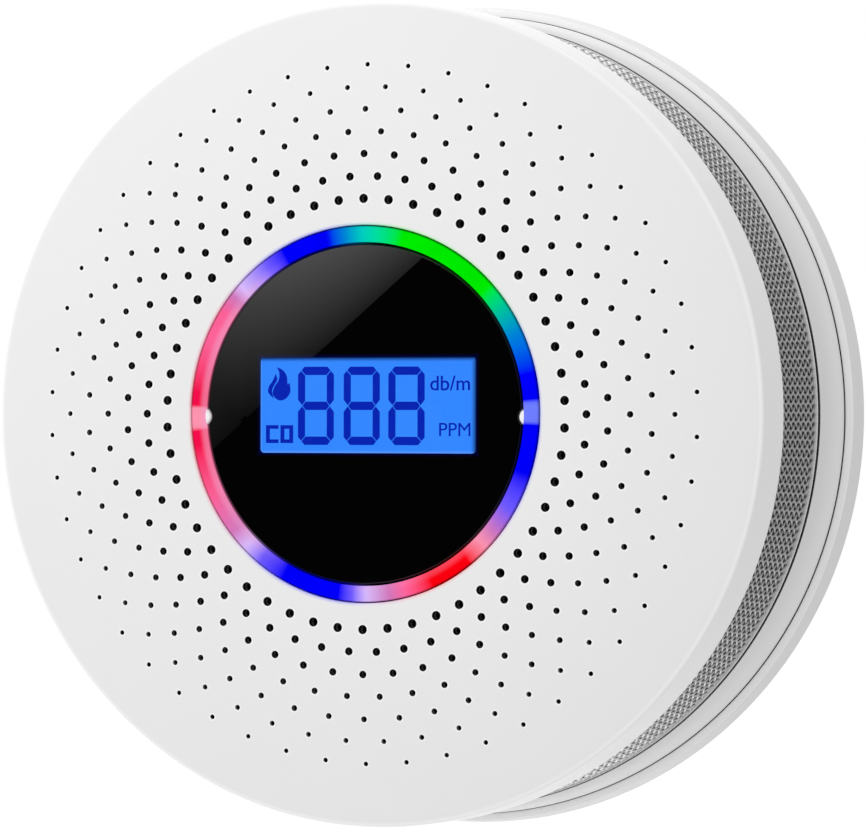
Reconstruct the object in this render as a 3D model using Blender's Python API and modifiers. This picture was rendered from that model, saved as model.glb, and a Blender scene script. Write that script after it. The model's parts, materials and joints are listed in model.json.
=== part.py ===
"""A round wall-mounted carbon monoxide detector with a display, a light ring and a bayonet wall plate.

Every part is modelled in a frame whose +Z leaves the wall, under the empty "wall_frame". That
empty stands the frame up: in the world +Z is up, the wall is the plane Y = 0, and the front of
the detector faces -Y. Lengths in this script are millimetres, and the helpers turn them into
metres. Heights are distances from the wall. Angles are degrees, counter-clockwise from +X as
seen from the front.
"""

import math

import bmesh
import bpy
from mathutils import Matrix, Vector

MM = 0.001
ROUND_STEPS = 50            # flats around each large turned part
SMALL_STEPS = 20            # flats around each small turned part
MERGE = 0.00001             # metres
GAP = 0.3                   # clearance between pieces that touch

# Wall plate
PLATE_RADIUS = 53.0
PLATE_FLOOR = 2.0
PLATE_HEIGHT = 5.05
PLATE_RIM_INNER = 50.7
SLOT_DISTANCE = 30.0        # wall screw slots, from the centre
SLOT_LENGTH = 12.0
SLOT_WIDTH = 4.4

# Bayonet
LUG_ANGLES = (60.0, 180.0, 300.0)
LUG_WIDTH = 9.0
LUG_STEM = (44.6, 46.6)     # inner and outer radius
LUG_FOOT = (46.3, 49.4)
LUG_BOTTOM = PLATE_FLOOR + GAP
LUG_TOP = 3.2
HOOK_INNER = 47.3
HOOK_TOP = 4.7
STOP_WIDTH = 3.0
STOP_OFFSET = 8.2           # degrees clockwise of the lug

# Rear housing
HOUSING_BOTTOM = 5.6
HOUSING_FLOOR = 7.6
HOUSING_TOP = 10.9
HOUSING_RADIUS_REAR = 51.95
HOUSING_RADIUS_FRONT = 50.75
HOUSING_INNER = 49.0

# Battery bay: two AA cells side by side, along X
BAY_CENTRE_Y = -13.8
BAY_LENGTH = 57.4
BAY_WIDTH = 30.2
BAY_WALL = 1.6
BAY_CEILING = 22.6
DOOR_LEDGE = 2.2
DOOR_RECESS_TOP = 7.2
DOOR_BOTTOM = 5.7
CELL_RADIUS = 7.25
CELL_HALF_LENGTH = 24.6
CELL_NUB_RADIUS = 2.75
CELL_NUB_HEIGHT = 1.1
CELL_HEIGHT = 15.15
CELL_ROW_Y = (-6.2, -21.4)
CONTACT_X = 28.2
CONTACT_THICKNESS = 0.4

# Vent cage, mesh and screw bosses
CAGE_INNER = 43.2
CAGE_OUTER = 44.8
CAGE_BOTTOM = 11.6
CAGE_RIM_RADIUS = 50.5
CAGE_RIM_THICKNESS = 0.8
CAGE_FLANGE_RADIUS = 49.3
CAGE_FLANGE_BOTTOM = 31.2
CAGE_FLANGE_TOP = 32.4
CAGE_WINDOWS = 12
MESH_RADIUS_REAR = 50.1
MESH_RADIUS_FRONT = 46.9
MESH_THICKNESS = 0.5
COVER_SCREW_ANGLES = (90.0, 210.0, 330.0)
COVER_SCREW_DISTANCE = 39.0
BOARD_SCREW_ANGLES = (0.0, 180.0)
BOARD_SCREW_DISTANCE = 36.6

# Front cover
COVER_FACE = 38.07          # distance of the flat middle from the wall
COVER_FACE_RADIUS = 51.3
COVER_REAR_RADIUS = 51.45
COVER_REAR = 28.1
CLIP_BOTTOM = 30.3
COVER_WALL = 2.0
DOME_START = 26.68          # the face is flat inside this radius
DOME_DROP = 2.575           # fall of the face at DOME_START + DOME_RUN
DOME_RUN = 24.55
RING_OPENING = 23.55
RING_WALL_OUTER = 24.95
RING_WALL_BOTTOM = 30.3
HOLE_COUNT = 50             # in each ring of holes
HOLE_RING_STEP = 2.78
HOLE_DIAMETERS = (1.15, 1.01, 0.94, 0.80, 0.75, 0.65, 0.58)
HOLE_SIDES = 6

# Light ring and push lens
LIGHT_OUTER = 23.25
LIGHT_INNER = 21.15
LIGHT_TOP = 38.12
LIGHT_BOTTOM = 28.4
LIGHT_FLANGE_RADIUS = 25.2
LIGHT_FLANGE_TOP = 29.9
KEY_DISTANCE = 21.5
KEY_RADIUS = 1.2
KEY_TOP = 38.05
KEY_ANGLES = (0.0, 180.0)
LENS_RADIUS = 20.85
LENS_TOP = 38.0
LENS_BOTTOM = 37.0
MASK_RADIUS = 20.5
MASK_TOP = 36.7
MASK_BOTTOM = 36.5
FRAME_TOP = 36.2
FRAME_UNDERSIDE = 35.4
FRAME_SKIRT_INNER = 19.5
FRAME_SKIRT_BOTTOM = 30.2
POST_Y = -14.0
POST_BOTTOM = 31.65

# Circuit board and the parts on it
BOARD_RADIUS = 41.0
BOARD_REAR = 24.6
BOARD_FRONT = 26.2
FRONT_SEAT = BOARD_FRONT + GAP
REAR_SEAT = BOARD_REAR - GAP
DISPLAY_Y = 1.1
WINDOW_SIZE = (29.0, 11.9)
GLASS_SIZE = (30.4, 13.6)
GLASS_BOTTOM = 33.6
GLASS_TOP = 35.8
BEZEL_SIZE = (33.0, 16.6)
BEZEL_OPENING = (31.0, 14.6)
BEZEL_TOP = 34.3
LAMP_COUNT = 8
LAMP_DISTANCE = 22.2
LAMP_TOP = 28.1
CHAMBER_CENTRE = (-15.0, 20.0)
CHAMBER_RADIUS = 15.0
SENSOR_CENTRE = (21.0, 19.5)
SENSOR_RADIUS = 10.0
SOUNDER_CENTRE = (0.0, -33.6)
SOUNDER_RADIUS = 8.1


# ---------------------------------------------------------------- scene and materials

def clear_scene():
    for old in list(bpy.data.objects):
        bpy.data.objects.remove(old)


def new_collection(name):
    collection = bpy.data.collections.new(name)
    bpy.context.scene.collection.children.link(collection)
    return collection


def new_empty(name, collection, parent=None, location=(0.0, 0.0, 0.0), rotation=(0.0, 0.0, 0.0)):
    empty = bpy.data.objects.new(name, None)
    empty.empty_display_size = 0.01
    empty.location = Vector(location) * MM
    empty.rotation_euler = [math.radians(angle) for angle in rotation]
    empty.parent = parent
    collection.objects.link(empty)
    return empty


def new_material(name, colour, roughness, metallic=0.0, transmission=0.0, glow=0.0):
    material = bpy.data.materials.new(name)
    material.use_nodes = True
    shader = material.node_tree.nodes["Principled BSDF"]
    shader.inputs["Base Color"].default_value = (*colour, 1.0)
    shader.inputs["Roughness"].default_value = roughness
    shader.inputs["Metallic"].default_value = metallic
    shader.inputs["Transmission Weight"].default_value = transmission
    shader.inputs["Emission Color"].default_value = (*colour, 1.0)
    shader.inputs["Emission Strength"].default_value = glow
    material.diffuse_color = (*colour, 1.0)
    return material


def make_materials():
    recipes = {
        "white_shell": ((0.86, 0.86, 0.87), 0.38),
        "white_base": ((0.84, 0.84, 0.85), 0.42),
        "wire_mesh": ((0.38, 0.38, 0.39), 0.4, 0.9),
        "light_guide": ((0.25, 0.35, 0.95), 0.3, 0.0, 0.4, 0.6),
        "black_lens": ((0.01, 0.01, 0.012), 0.05),
        "black_plastic": ((0.02, 0.02, 0.022), 0.45),
        "display_glass": ((0.05, 0.25, 0.95), 0.12, 0.0, 0.3),
        "backlight": ((0.1, 0.3, 1.0), 0.4, 0.0, 0.0, 0.8),
        "board": ((0.02, 0.19, 0.08), 0.45),
        "steel": ((0.6, 0.6, 0.62), 0.28, 1.0),
        "brass": ((0.75, 0.56, 0.22), 0.3, 1.0),
        "cell_wrap": ((0.08, 0.09, 0.11), 0.3, 0.3),
        "grey_rubber": ((0.2, 0.2, 0.21), 0.8),
        "red_insulation": ((0.6, 0.02, 0.02), 0.5),
        "lamp_white": ((0.92, 0.9, 0.8), 0.3),
    }
    return {name: new_material(name, *values) for name, values in recipes.items()}


# ---------------------------------------------------------------- shape helpers

def add_part(name, data, material, collection, parent, location=(0.0, 0.0, 0.0), rotation=(0.0, 0.0, 0.0)):
    part = bpy.data.objects.new(name, data)
    part.location = Vector(location) * MM
    part.rotation_euler = [math.radians(angle) for angle in rotation]
    part.parent = parent
    if material:
        data.materials.append(material)
    collection.objects.link(part)
    return part


def add_tool(name, data, parent, location=(0.0, 0.0, 0.0)):
    tool = add_part(name, data, None, TOOLS, parent, location)
    tool.hide_render = True
    tool.display_type = "WIRE"
    return tool


def turned(name, outline, material, parent, location=(0.0, 0.0, 0.0), rotation=(0.0, 0.0, 0.0),
           steps=ROUND_STEPS):
    """Spins (radius, height) points about Z. They run down the outer side."""
    mesh = bpy.data.meshes.new(name)
    points = [(radius * MM, 0.0, height * MM) for radius, height in outline]
    edges = [(i, i + 1) for i in range(len(points) - 1)]
    if outline[0][0] > 0.0:
        edges.append((len(points) - 1, 0))
    mesh.from_pydata(points, edges, [])
    part = add_part(name, mesh, material, PARTS, parent, location, rotation)
    screw = part.modifiers.new("turn", "SCREW")
    screw.axis = "Z"
    screw.angle = math.tau
    screw.steps = steps
    screw.render_steps = steps
    screw.use_merge_vertices = True
    screw.merge_threshold = MERGE
    return part


def slab_mesh(name, size, low, high, corner=0.0):
    """A block of size (x, y) between two heights, with its upright edges rounded."""
    mesh = bpy.data.meshes.new(name)
    work = bmesh.new()
    bmesh.ops.create_cube(work, size=1.0)
    scale = Matrix.Diagonal((size[0] * MM, size[1] * MM, (high - low) * MM, 1.0))
    bmesh.ops.transform(work, matrix=scale, verts=work.verts)
    bmesh.ops.translate(work, vec=(0.0, 0.0, (low + high) / 2 * MM), verts=work.verts)
    if corner:
        upright = [edge for edge in work.edges if abs(edge.verts[0].co.z - edge.verts[1].co.z) > MERGE]
        bmesh.ops.bevel(work, geom=upright, offset=corner * MM, segments=3, profile=0.5, affect="EDGES")
    work.to_mesh(mesh)
    work.free()
    return mesh


def slab(name, size, low, high, material, parent, centre=(0.0, 0.0), corner=0.0):
    mesh = slab_mesh(name, size, low, high, corner)
    return add_part(name, mesh, material, PARTS, parent, (centre[0], centre[1], 0.0))


def slab_tool(name, size, low, high, parent, centre=(0.0, 0.0), corner=0.0):
    return add_tool(name, slab_mesh(name, size, low, high, corner), parent, (centre[0], centre[1], 0.0))


def polar(angle, distance, centre=(0.0, 0.0)):
    turn = math.radians(angle)
    return centre[0] + distance * math.cos(turn), centre[1] + distance * math.sin(turn)


def blocks_tool(name, angles, radii, heights, width, parent, centre=(0.0, 0.0)):
    """One block at each angle, from an inner to an outer radius and between two heights."""
    work = bmesh.new()
    scale = Matrix.Diagonal(((radii[1] - radii[0]) * MM, width * MM, (heights[1] - heights[0]) * MM, 1.0))
    middle = Matrix.Translation((sum(radii) / 2 * MM, 0.0, sum(heights) / 2 * MM))
    for angle in angles:
        turn = Matrix.Rotation(math.radians(angle), 4, "Z")
        bmesh.ops.create_cube(work, size=1.0, matrix=turn @ middle @ scale)
    mesh = bpy.data.meshes.new(name)
    work.to_mesh(mesh)
    work.free()
    return add_tool(name, mesh, parent, (centre[0], centre[1], 0.0))


def pins_tool(name, places, radius, heights, parent, sides=12):
    """One upright cylinder at each (x, y) place."""
    work = bmesh.new()
    add_pins(work, places, radius, heights, sides)
    mesh = bpy.data.meshes.new(name)
    work.to_mesh(mesh)
    work.free()
    return add_tool(name, mesh, parent)


def add_pins(work, places, radius, heights, sides):
    for x, y in places:
        where = Matrix.Translation((x * MM, y * MM, sum(heights) / 2 * MM))
        turn = Matrix.Rotation(math.atan2(y, x), 4, "Z")
        bmesh.ops.create_cone(work, cap_ends=True, segments=sides, radius1=radius * MM, radius2=radius * MM,
                              depth=(heights[1] - heights[0]) * MM, matrix=where @ turn)


def combine(part, tool, operation):
    modifier = part.modifiers.new(tool.name, "BOOLEAN")
    modifier.operation = operation
    modifier.object = tool


def cut(part, *tools):
    for tool in tools:
        combine(part, tool, "DIFFERENCE")


def join(part, *tools):
    for tool in tools:
        combine(part, tool, "UNION")


def wire(name, points, radius, material, parent, location=(0.0, 0.0, 0.0), rotation=(0.0, 0.0, 0.0)):
    curve = bpy.data.curves.new(name, "CURVE")
    curve.dimensions = "3D"
    curve.bevel_depth = radius * MM
    curve.bevel_resolution = 1
    curve.use_fill_caps = True
    spline = curve.splines.new("POLY")
    spline.points.add(len(points) - 1)
    for target, point in zip(spline.points, points):
        target.co = (*(value * MM for value in point), 1.0)
    return add_part(name, curve, material, PARTS, parent, location, rotation)


# ---------------------------------------------------------------- wall plate

def make_mounting_plate(parent):
    outline = [
        (0.0, PLATE_FLOOR), (PLATE_RIM_INNER, PLATE_FLOOR), (PLATE_RIM_INNER, PLATE_HEIGHT),
        (51.95, PLATE_HEIGHT), (52.55, 4.42), (PLATE_RADIUS, 0.4), (52.6, 0.0), (0.0, 0.0),
    ]
    plate = turned("mounting_plate", outline, MATERIALS["white_base"], parent)
    rim = PLATE_RIM_INNER + 0.6
    hook_heights = (LUG_TOP + GAP, HOOK_TOP)
    hooks = blocks_tool("plate_hooks", LUG_ANGLES, (HOOK_INNER, rim), hook_heights, LUG_WIDTH, parent)
    stop_angles = [angle - STOP_OFFSET for angle in LUG_ANGLES]
    stop_heights = (1.0, HOOK_TOP - 0.2)
    stop_reach = (HOOK_INNER + 0.2, rim)
    stops = blocks_tool("plate_stops", stop_angles, stop_reach, stop_heights, STOP_WIDTH, parent)
    join(plate, hooks, stops)
    through = (-1.0, PLATE_FLOOR + 1.0)
    for index, angle in enumerate((0.0, 90.0, 180.0, 270.0)):
        size = (SLOT_LENGTH, SLOT_WIDTH) if index % 2 == 0 else (SLOT_WIDTH, SLOT_LENGTH)
        place = polar(angle, SLOT_DISTANCE)
        slot_name = f"wall_screw_slot_{index + 1}"
        cut(plate, slab_tool(slot_name, size, *through, parent, place, SLOT_WIDTH / 2 - 0.05))
    return plate


# ---------------------------------------------------------------- rear housing and battery bay

def make_rear_housing(parent):
    outline = [
        (0.0, HOUSING_FLOOR), (HOUSING_INNER, HOUSING_FLOOR), (HOUSING_INNER, HOUSING_TOP),
        (HOUSING_RADIUS_FRONT, HOUSING_TOP), (HOUSING_RADIUS_REAR, HOUSING_BOTTOM), (0.0, HOUSING_BOTTOM),
    ]
    housing = turned("rear_housing", outline, MATERIALS["white_shell"], parent)
    bay_centre = (0.0, BAY_CENTRE_Y)
    bay_outer = (BAY_LENGTH + 2 * BAY_WALL, BAY_WIDTH + 2 * BAY_WALL)
    recess = (BAY_LENGTH + 2 * DOOR_LEDGE, BAY_WIDTH + 2 * DOOR_LEDGE)
    below = HOUSING_BOTTOM - 1.0
    stem_heights = (LUG_BOTTOM, HOUSING_BOTTOM + 0.5)
    screws = [polar(angle, COVER_SCREW_DISTANCE) for angle in COVER_SCREW_ANGLES]
    join(
        housing,
        slab_tool("bay_walls", bay_outer, HOUSING_FLOOR - 0.6, BAY_CEILING + 1.4, parent, bay_centre, 3.0),
        blocks_tool("lug_stems", LUG_ANGLES, LUG_STEM, stem_heights, LUG_WIDTH - 1.0, parent),
        blocks_tool("lug_feet", LUG_ANGLES, LUG_FOOT, (LUG_BOTTOM, LUG_TOP), LUG_WIDTH - 1.0, parent),
        pins_tool("housing_bosses", screws, 3.2, (HOUSING_FLOOR - 0.5, CAGE_BOTTOM - 0.5), parent),
    )
    cut(
        housing,
        slab_tool("bay_hollow", (BAY_LENGTH, BAY_WIDTH), below, BAY_CEILING, parent, bay_centre, 1.6),
        slab_tool("door_recess", recess, below, DOOR_RECESS_TOP, parent, bay_centre, 2.0),
        pins_tool("housing_screw_holes", screws, 1.6, (below, CAGE_BOTTOM + 1.0), parent),
        pins_tool("housing_head_recesses", screws, 2.9, (below, 6.7), parent),
    )
    return housing


def make_battery_door(parent):
    size = (BAY_LENGTH + 2 * DOOR_LEDGE - 2 * GAP, BAY_WIDTH + 2 * DOOR_LEDGE - 2 * GAP)
    centre = (0.0, BAY_CENTRE_Y)
    door_top = DOOR_RECESS_TOP - GAP
    door = slab("battery_door", size, DOOR_BOTTOM, door_top, MATERIALS["white_shell"], parent, centre, 1.8)
    grip_heights = (DOOR_BOTTOM - 0.8, DOOR_BOTTOM + 0.4)
    grip_centre = (0.0, BAY_CENTRE_Y + 12.0)
    grip = blocks_tool("door_grip", (90.0,), (-1.2, 1.2), grip_heights, 14.0, parent, grip_centre)
    join(door, grip)
    return door


def make_cell(name, row_y, facing, parent):
    """An AA cell whose nub points along +X (facing 1) or -X (facing -1)."""
    top = CELL_HALF_LENGTH + 0.2
    outline = [
        (0.0, top + CELL_NUB_HEIGHT), (CELL_NUB_RADIUS, top + CELL_NUB_HEIGHT), (CELL_NUB_RADIUS, top),
        (CELL_RADIUS - 0.3, top), (CELL_RADIUS, top - 0.3), (CELL_RADIUS, -CELL_HALF_LENGTH + 0.3),
        (CELL_RADIUS - 0.3, -CELL_HALF_LENGTH), (0.0, -CELL_HALF_LENGTH),
    ]
    place = (0.0, row_y, CELL_HEIGHT)
    turn = (0.0, 90.0 * facing, 0.0)
    return turned(name, outline, MATERIALS["cell_wrap"], parent, place, turn, SMALL_STEPS)


def make_contact_spring(name, x, row_y, facing, parent):
    """A conical coil that presses on a cell's flat end."""
    turns, per_turn, length = 3, 10, 2.2
    steps = turns * per_turn
    points = []
    for step in range(steps + 1):
        share = step / steps
        reach = 3.6 - 1.4 * share
        x_point, y_point = polar(360.0 * turns * share, reach)
        points.append((x_point, y_point, 0.35 + length * share))
    place = (x, row_y, CELL_HEIGHT)
    return wire(name, points, 0.35, MATERIALS["steel"], parent, place, (0.0, 90.0 * facing, 0.0))


def make_contact_plate(name, side, row_y, y_range, parent):
    """A flat contact on the bay's end wall, with a bump that meets a cell's nub."""
    centre = (side * CONTACT_X, sum(y_range) / 2)
    size = (CONTACT_THICKNESS, y_range[1] - y_range[0])
    plate = slab(name, size, CELL_HEIGHT - 4.5, CELL_HEIGHT + 4.5, MATERIALS["steel"], parent, centre)
    bump = bpy.data.meshes.new(name + "_bump")
    work = bmesh.new()
    height = 1.8
    foot_radius, tip_radius = 2.4 * MM, 1.2 * MM
    bmesh.ops.create_cone(work, cap_ends=True, segments=12, radius1=foot_radius, radius2=tip_radius,
                          depth=height * MM)
    lay_down = Matrix.Rotation(math.radians(-90.0 * side), 4, "Y")
    bmesh.ops.transform(work, matrix=lay_down, verts=work.verts)
    work.to_mesh(bump)
    work.free()
    place = (side * (CONTACT_X - height / 2), row_y, CELL_HEIGHT)
    join(plate, add_tool(name + "_bump", bump, parent, place))
    return plate


def make_battery_set(parent):
    upper, lower = CELL_ROW_Y
    make_cell("battery_1", upper, 1, parent)
    make_cell("battery_2", lower, -1, parent)
    make_contact_spring("contact_spring_1", -CONTACT_X + 0.4, upper, 1, parent)
    make_contact_spring("contact_spring_2", CONTACT_X - 0.5, lower, -1, parent)
    make_contact_plate("contact_plate_positive", -1, lower, (lower - 4.0, lower + 4.0), parent)
    make_contact_plate("contact_link", 1, upper, (lower - 4.6, upper + 4.6), parent)
    wall_x = -(BAY_LENGTH / 2 + BAY_WALL + 1.0)
    rise = [
        (wall_x, 13.5), (wall_x - 0.3, 15.5), (wall_x - 1.0, 18.0), (wall_x - 1.3, 21.0),
        (wall_x - 1.3, 24.2),
    ]
    wire("battery_lead_red", [(x, -12.0, z) for x, z in rise], 0.55, MATERIALS["red_insulation"], parent)
    wire("battery_lead_black", [(x, -5.0, z) for x, z in rise], 0.55, MATERIALS["black_plastic"], parent)


# ---------------------------------------------------------------- vent cage and mesh

def make_vent_cage(parent):
    outline = [
        (CAGE_FLANGE_RADIUS, CAGE_FLANGE_TOP), (CAGE_FLANGE_RADIUS, CAGE_FLANGE_BOTTOM),
        (CAGE_OUTER, CAGE_FLANGE_BOTTOM), (CAGE_OUTER, CAGE_BOTTOM + CAGE_RIM_THICKNESS),
        (CAGE_RIM_RADIUS, CAGE_BOTTOM + CAGE_RIM_THICKNESS), (CAGE_RIM_RADIUS, CAGE_BOTTOM),
        (CAGE_INNER, CAGE_BOTTOM), (CAGE_INNER, CAGE_FLANGE_TOP),
    ]
    cage = turned("vent_cage", outline, MATERIALS["white_shell"], parent)
    window_angles = [(index + 0.5) * 360.0 / CAGE_WINDOWS for index in range(CAGE_WINDOWS)]
    cut(cage, blocks_tool("cage_windows", window_angles, (42.0, 46.0), (14.0, 29.8), 17.0, parent))
    boss_heights = (CAGE_BOTTOM + 0.2, REAR_SEAT - 0.1)
    cover_places = [polar(angle, COVER_SCREW_DISTANCE) for angle in COVER_SCREW_ANGLES]
    board_places = [polar(angle, BOARD_SCREW_DISTANCE) for angle in BOARD_SCREW_ANGLES]
    wall = CAGE_INNER + 0.8
    cover_web = (COVER_SCREW_DISTANCE, wall)
    board_web = (BOARD_SCREW_DISTANCE, wall)
    join(
        cage,
        blocks_tool("cover_boss_webs", COVER_SCREW_ANGLES, cover_web, boss_heights, 2.4, parent),
        blocks_tool("board_boss_webs", BOARD_SCREW_ANGLES, board_web, boss_heights, 2.0, parent),
        pins_tool("cover_bosses", cover_places, 2.9, (boss_heights[0] - 0.1, boss_heights[1] + 0.05), parent),
        pins_tool("board_bosses", board_places, 2.5, (boss_heights[0] - 0.1, boss_heights[1] + 0.05), parent),
    )
    cut(
        cage,
        pins_tool("cover_boss_bores", cover_places, 1.3, (CAGE_BOTTOM - 1.0, 21.5), parent),
        pins_tool("board_boss_bores", board_places, 1.1, (14.5, BOARD_REAR + 1.0), parent),
    )
    return cage


def make_mesh_screen(parent):
    top = CAGE_FLANGE_BOTTOM - GAP
    bottom = CAGE_BOTTOM + CAGE_RIM_THICKNESS + GAP
    outline = [
        (MESH_RADIUS_FRONT, top), (MESH_RADIUS_REAR, bottom),
        (MESH_RADIUS_REAR - MESH_THICKNESS, bottom), (MESH_RADIUS_FRONT - MESH_THICKNESS, top),
    ]
    return turned("mesh_screen", outline, MATERIALS["wire_mesh"], parent)


# ---------------------------------------------------------------- front cover

def face_height(radius):
    """Height of the gently domed face."""
    share = max(0.0, radius - DOME_START) / DOME_RUN
    return COVER_FACE - DOME_DROP * share ** 2


def hole_places(ring):
    """Centres of one ring of vent holes; every other ring is turned by half a step."""
    step = 360.0 / HOLE_COUNT
    first = 90.0 + (ring % 2) * step / 2
    distance = DOME_START + HOLE_RING_STEP * ring
    return [polar(first + step * index, distance) for index in range(HOLE_COUNT)]


def vent_hole_tool(parent):
    work = bmesh.new()
    for ring, diameter in enumerate(HOLE_DIAMETERS):
        middle = face_height(DOME_START + HOLE_RING_STEP * ring)
        add_pins(work, hole_places(ring), diameter / 2, (middle - COVER_WALL - 0.5, middle + 0.5), HOLE_SIDES)
    mesh = bpy.data.meshes.new("vent_holes")
    work.to_mesh(mesh)
    work.free()
    return add_tool("vent_holes", mesh, parent)


def make_front_cover(parent):
    pitch = 2 * HOLE_RING_STEP
    bands = [DOME_START + 1.5 * HOLE_RING_STEP + pitch * index for index in range(4)]
    outer = [(radius, face_height(radius)) for radius in [RING_OPENING, *bands, 50.65]]
    side = [(COVER_FACE_RADIUS, 35.05), (COVER_REAR_RADIUS, COVER_REAR), (50.2, COVER_REAR), (49.6, 33.5)]
    inner = [(radius, face_height(radius) - COVER_WALL) for radius in [*reversed(bands), RING_WALL_OUTER]]
    wall = [(RING_WALL_OUTER, RING_WALL_BOTTOM), (RING_OPENING, RING_WALL_BOTTOM)]
    # A quarter step of turn keeps every vent hole inside one flat of the turned shell.
    quarter_step = 360.0 / HOLE_COUNT / 4
    cover = turned("front_cover", outer + side + inner + wall, MATERIALS["white_shell"], parent,
                   rotation=(0.0, 0.0, quarter_step), steps=HOLE_COUNT)
    cut(cover, vent_hole_tool(parent))
    clip_angles = [30.0 + 60.0 * index for index in range(6)]
    clip_heights = (CLIP_BOTTOM, CAGE_FLANGE_BOTTOM - GAP)
    join(cover, blocks_tool("cover_clips", clip_angles, (48.9, 50.9), clip_heights, 6.0, parent))
    return cover


# ---------------------------------------------------------------- light ring and push lens

def key_tool(name, radius, heights, parent):
    places = [polar(angle, KEY_DISTANCE) for angle in KEY_ANGLES]
    return pins_tool(name, places, radius, heights, parent, 16)


def make_light_ring(parent):
    edge = 0.2
    outline = [
        (LIGHT_OUTER - edge, LIGHT_TOP), (LIGHT_OUTER, LIGHT_TOP - edge), (LIGHT_OUTER, LIGHT_FLANGE_TOP),
        (LIGHT_FLANGE_RADIUS, LIGHT_FLANGE_TOP), (LIGHT_FLANGE_RADIUS, LIGHT_BOTTOM),
        (LIGHT_INNER, LIGHT_BOTTOM), (LIGHT_INNER, LIGHT_TOP - edge), (LIGHT_INNER + edge, LIGHT_TOP),
    ]
    ring = turned("light_ring", outline, MATERIALS["light_guide"], parent)
    join(ring, key_tool("light_ring_keys", KEY_RADIUS, (33.0, KEY_TOP), parent))
    return ring


def make_button_lens(parent):
    edge = 0.3
    outline = [
        (0.0, LENS_TOP), (LENS_RADIUS - edge, LENS_TOP), (LENS_RADIUS, LENS_TOP - edge),
        (LENS_RADIUS, LENS_BOTTOM), (0.0, LENS_BOTTOM),
    ]
    lens = turned("button_lens", outline, MATERIALS["black_lens"], parent)
    cut(lens, key_tool("lens_notches", KEY_RADIUS + GAP, (LENS_BOTTOM - 1.0, LENS_TOP + 1.0), parent))
    return lens


def make_window_mask(parent):
    outline = [(0.0, MASK_TOP), (MASK_RADIUS, MASK_TOP), (MASK_RADIUS, MASK_BOTTOM), (0.0, MASK_BOTTOM)]
    mask = turned("window_mask", outline, MATERIALS["black_plastic"], parent)
    heights = (MASK_BOTTOM - 1.0, MASK_TOP + 1.0)
    cut(mask, slab_tool("mask_window", WINDOW_SIZE, *heights, parent, (0.0, DISPLAY_Y), 0.5))
    cut(mask, key_tool("mask_notches", KEY_RADIUS + GAP, heights, parent))
    return mask


def make_button_frame(parent):
    outline = [
        (0.0, FRAME_TOP), (MASK_RADIUS, FRAME_TOP), (MASK_RADIUS, FRAME_SKIRT_BOTTOM),
        (FRAME_SKIRT_INNER, FRAME_SKIRT_BOTTOM), (FRAME_SKIRT_INNER, FRAME_UNDERSIDE), (0.0, FRAME_UNDERSIDE),
    ]
    frame = turned("button_frame", outline, MATERIALS["black_plastic"], parent)
    join(frame, pins_tool("button_post", [(0.0, POST_Y)], 1.5, (POST_BOTTOM, FRAME_UNDERSIDE + 0.4), parent))
    opening = (GLASS_SIZE[0] + 0.8, GLASS_SIZE[1] + 0.6)
    heights = (FRAME_UNDERSIDE - 1.0, FRAME_TOP + 1.0)
    cut(frame, slab_tool("frame_window", opening, *heights, parent, (0.0, DISPLAY_Y)))
    notch_heights = (FRAME_SKIRT_BOTTOM - 1.0, FRAME_TOP + 1.0)
    cut(frame, key_tool("frame_notches", KEY_RADIUS + GAP, notch_heights, parent))
    return frame


# ---------------------------------------------------------------- display

def make_display(parent):
    centre = (0.0, DISPLAY_Y)
    slab("lcd_glass", GLASS_SIZE, GLASS_BOTTOM, GLASS_TOP, MATERIALS["display_glass"], parent, centre)
    panel_top = GLASS_BOTTOM - GAP
    panel_size = (GLASS_SIZE[0], 11.2)
    panel_centre = (0.0, DISPLAY_Y + (GLASS_SIZE[1] - panel_size[1]) / 2)
    slab("backlight_panel", panel_size, 29.2, panel_top, MATERIALS["backlight"], parent, panel_centre)
    strip_centre = (0.0, DISPLAY_Y - GLASS_SIZE[1] / 2 + 0.9)
    slab("contact_strip", (28.0, 1.6), FRONT_SEAT, panel_top, MATERIALS["grey_rubber"], parent, strip_centre)
    black = MATERIALS["black_plastic"]
    bezel = slab("display_bezel", BEZEL_SIZE, FRONT_SEAT, BEZEL_TOP, black, parent, centre)
    cut(bezel, slab_tool("bezel_opening", BEZEL_OPENING, FRONT_SEAT - 1.0, BEZEL_TOP + 1.0, parent, centre))


# ---------------------------------------------------------------- circuit board and its parts

def make_main_board(parent):
    outline = [
        (0.0, BOARD_FRONT), (BOARD_RADIUS, BOARD_FRONT), (BOARD_RADIUS, BOARD_REAR), (0.0, BOARD_REAR),
    ]
    board = turned("main_pcb", outline, MATERIALS["board"], parent)
    through = (BOARD_REAR - 1.0, BOARD_FRONT + 1.0)
    places = [polar(angle, BOARD_SCREW_DISTANCE) for angle in BOARD_SCREW_ANGLES]
    cut(board, pins_tool("board_screw_holes", places, 1.4, through, parent))
    cut(board, blocks_tool("board_notches", (45.0, 135.0, 270.0), (39.0, 43.0), through, 6.0, parent))
    return board


def make_tact_switch(parent, plunger_parent):
    body_top, bore_bottom = 30.0, 27.6
    material = MATERIALS["black_plastic"]
    body = slab("tact_switch_body", (6.0, 6.0), FRONT_SEAT, body_top, material, parent, (0.0, POST_Y))
    cut(body, pins_tool("switch_bore", [(0.0, POST_Y)], 2.1, (bore_bottom, body_top + 1.0), parent))
    outline = [(0.0, 31.3), (1.75, 31.3), (1.75, 28.5), (0.0, 28.5)]
    turned("switch_plunger", outline, MATERIALS["grey_rubber"], plunger_parent, steps=SMALL_STEPS)


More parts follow.
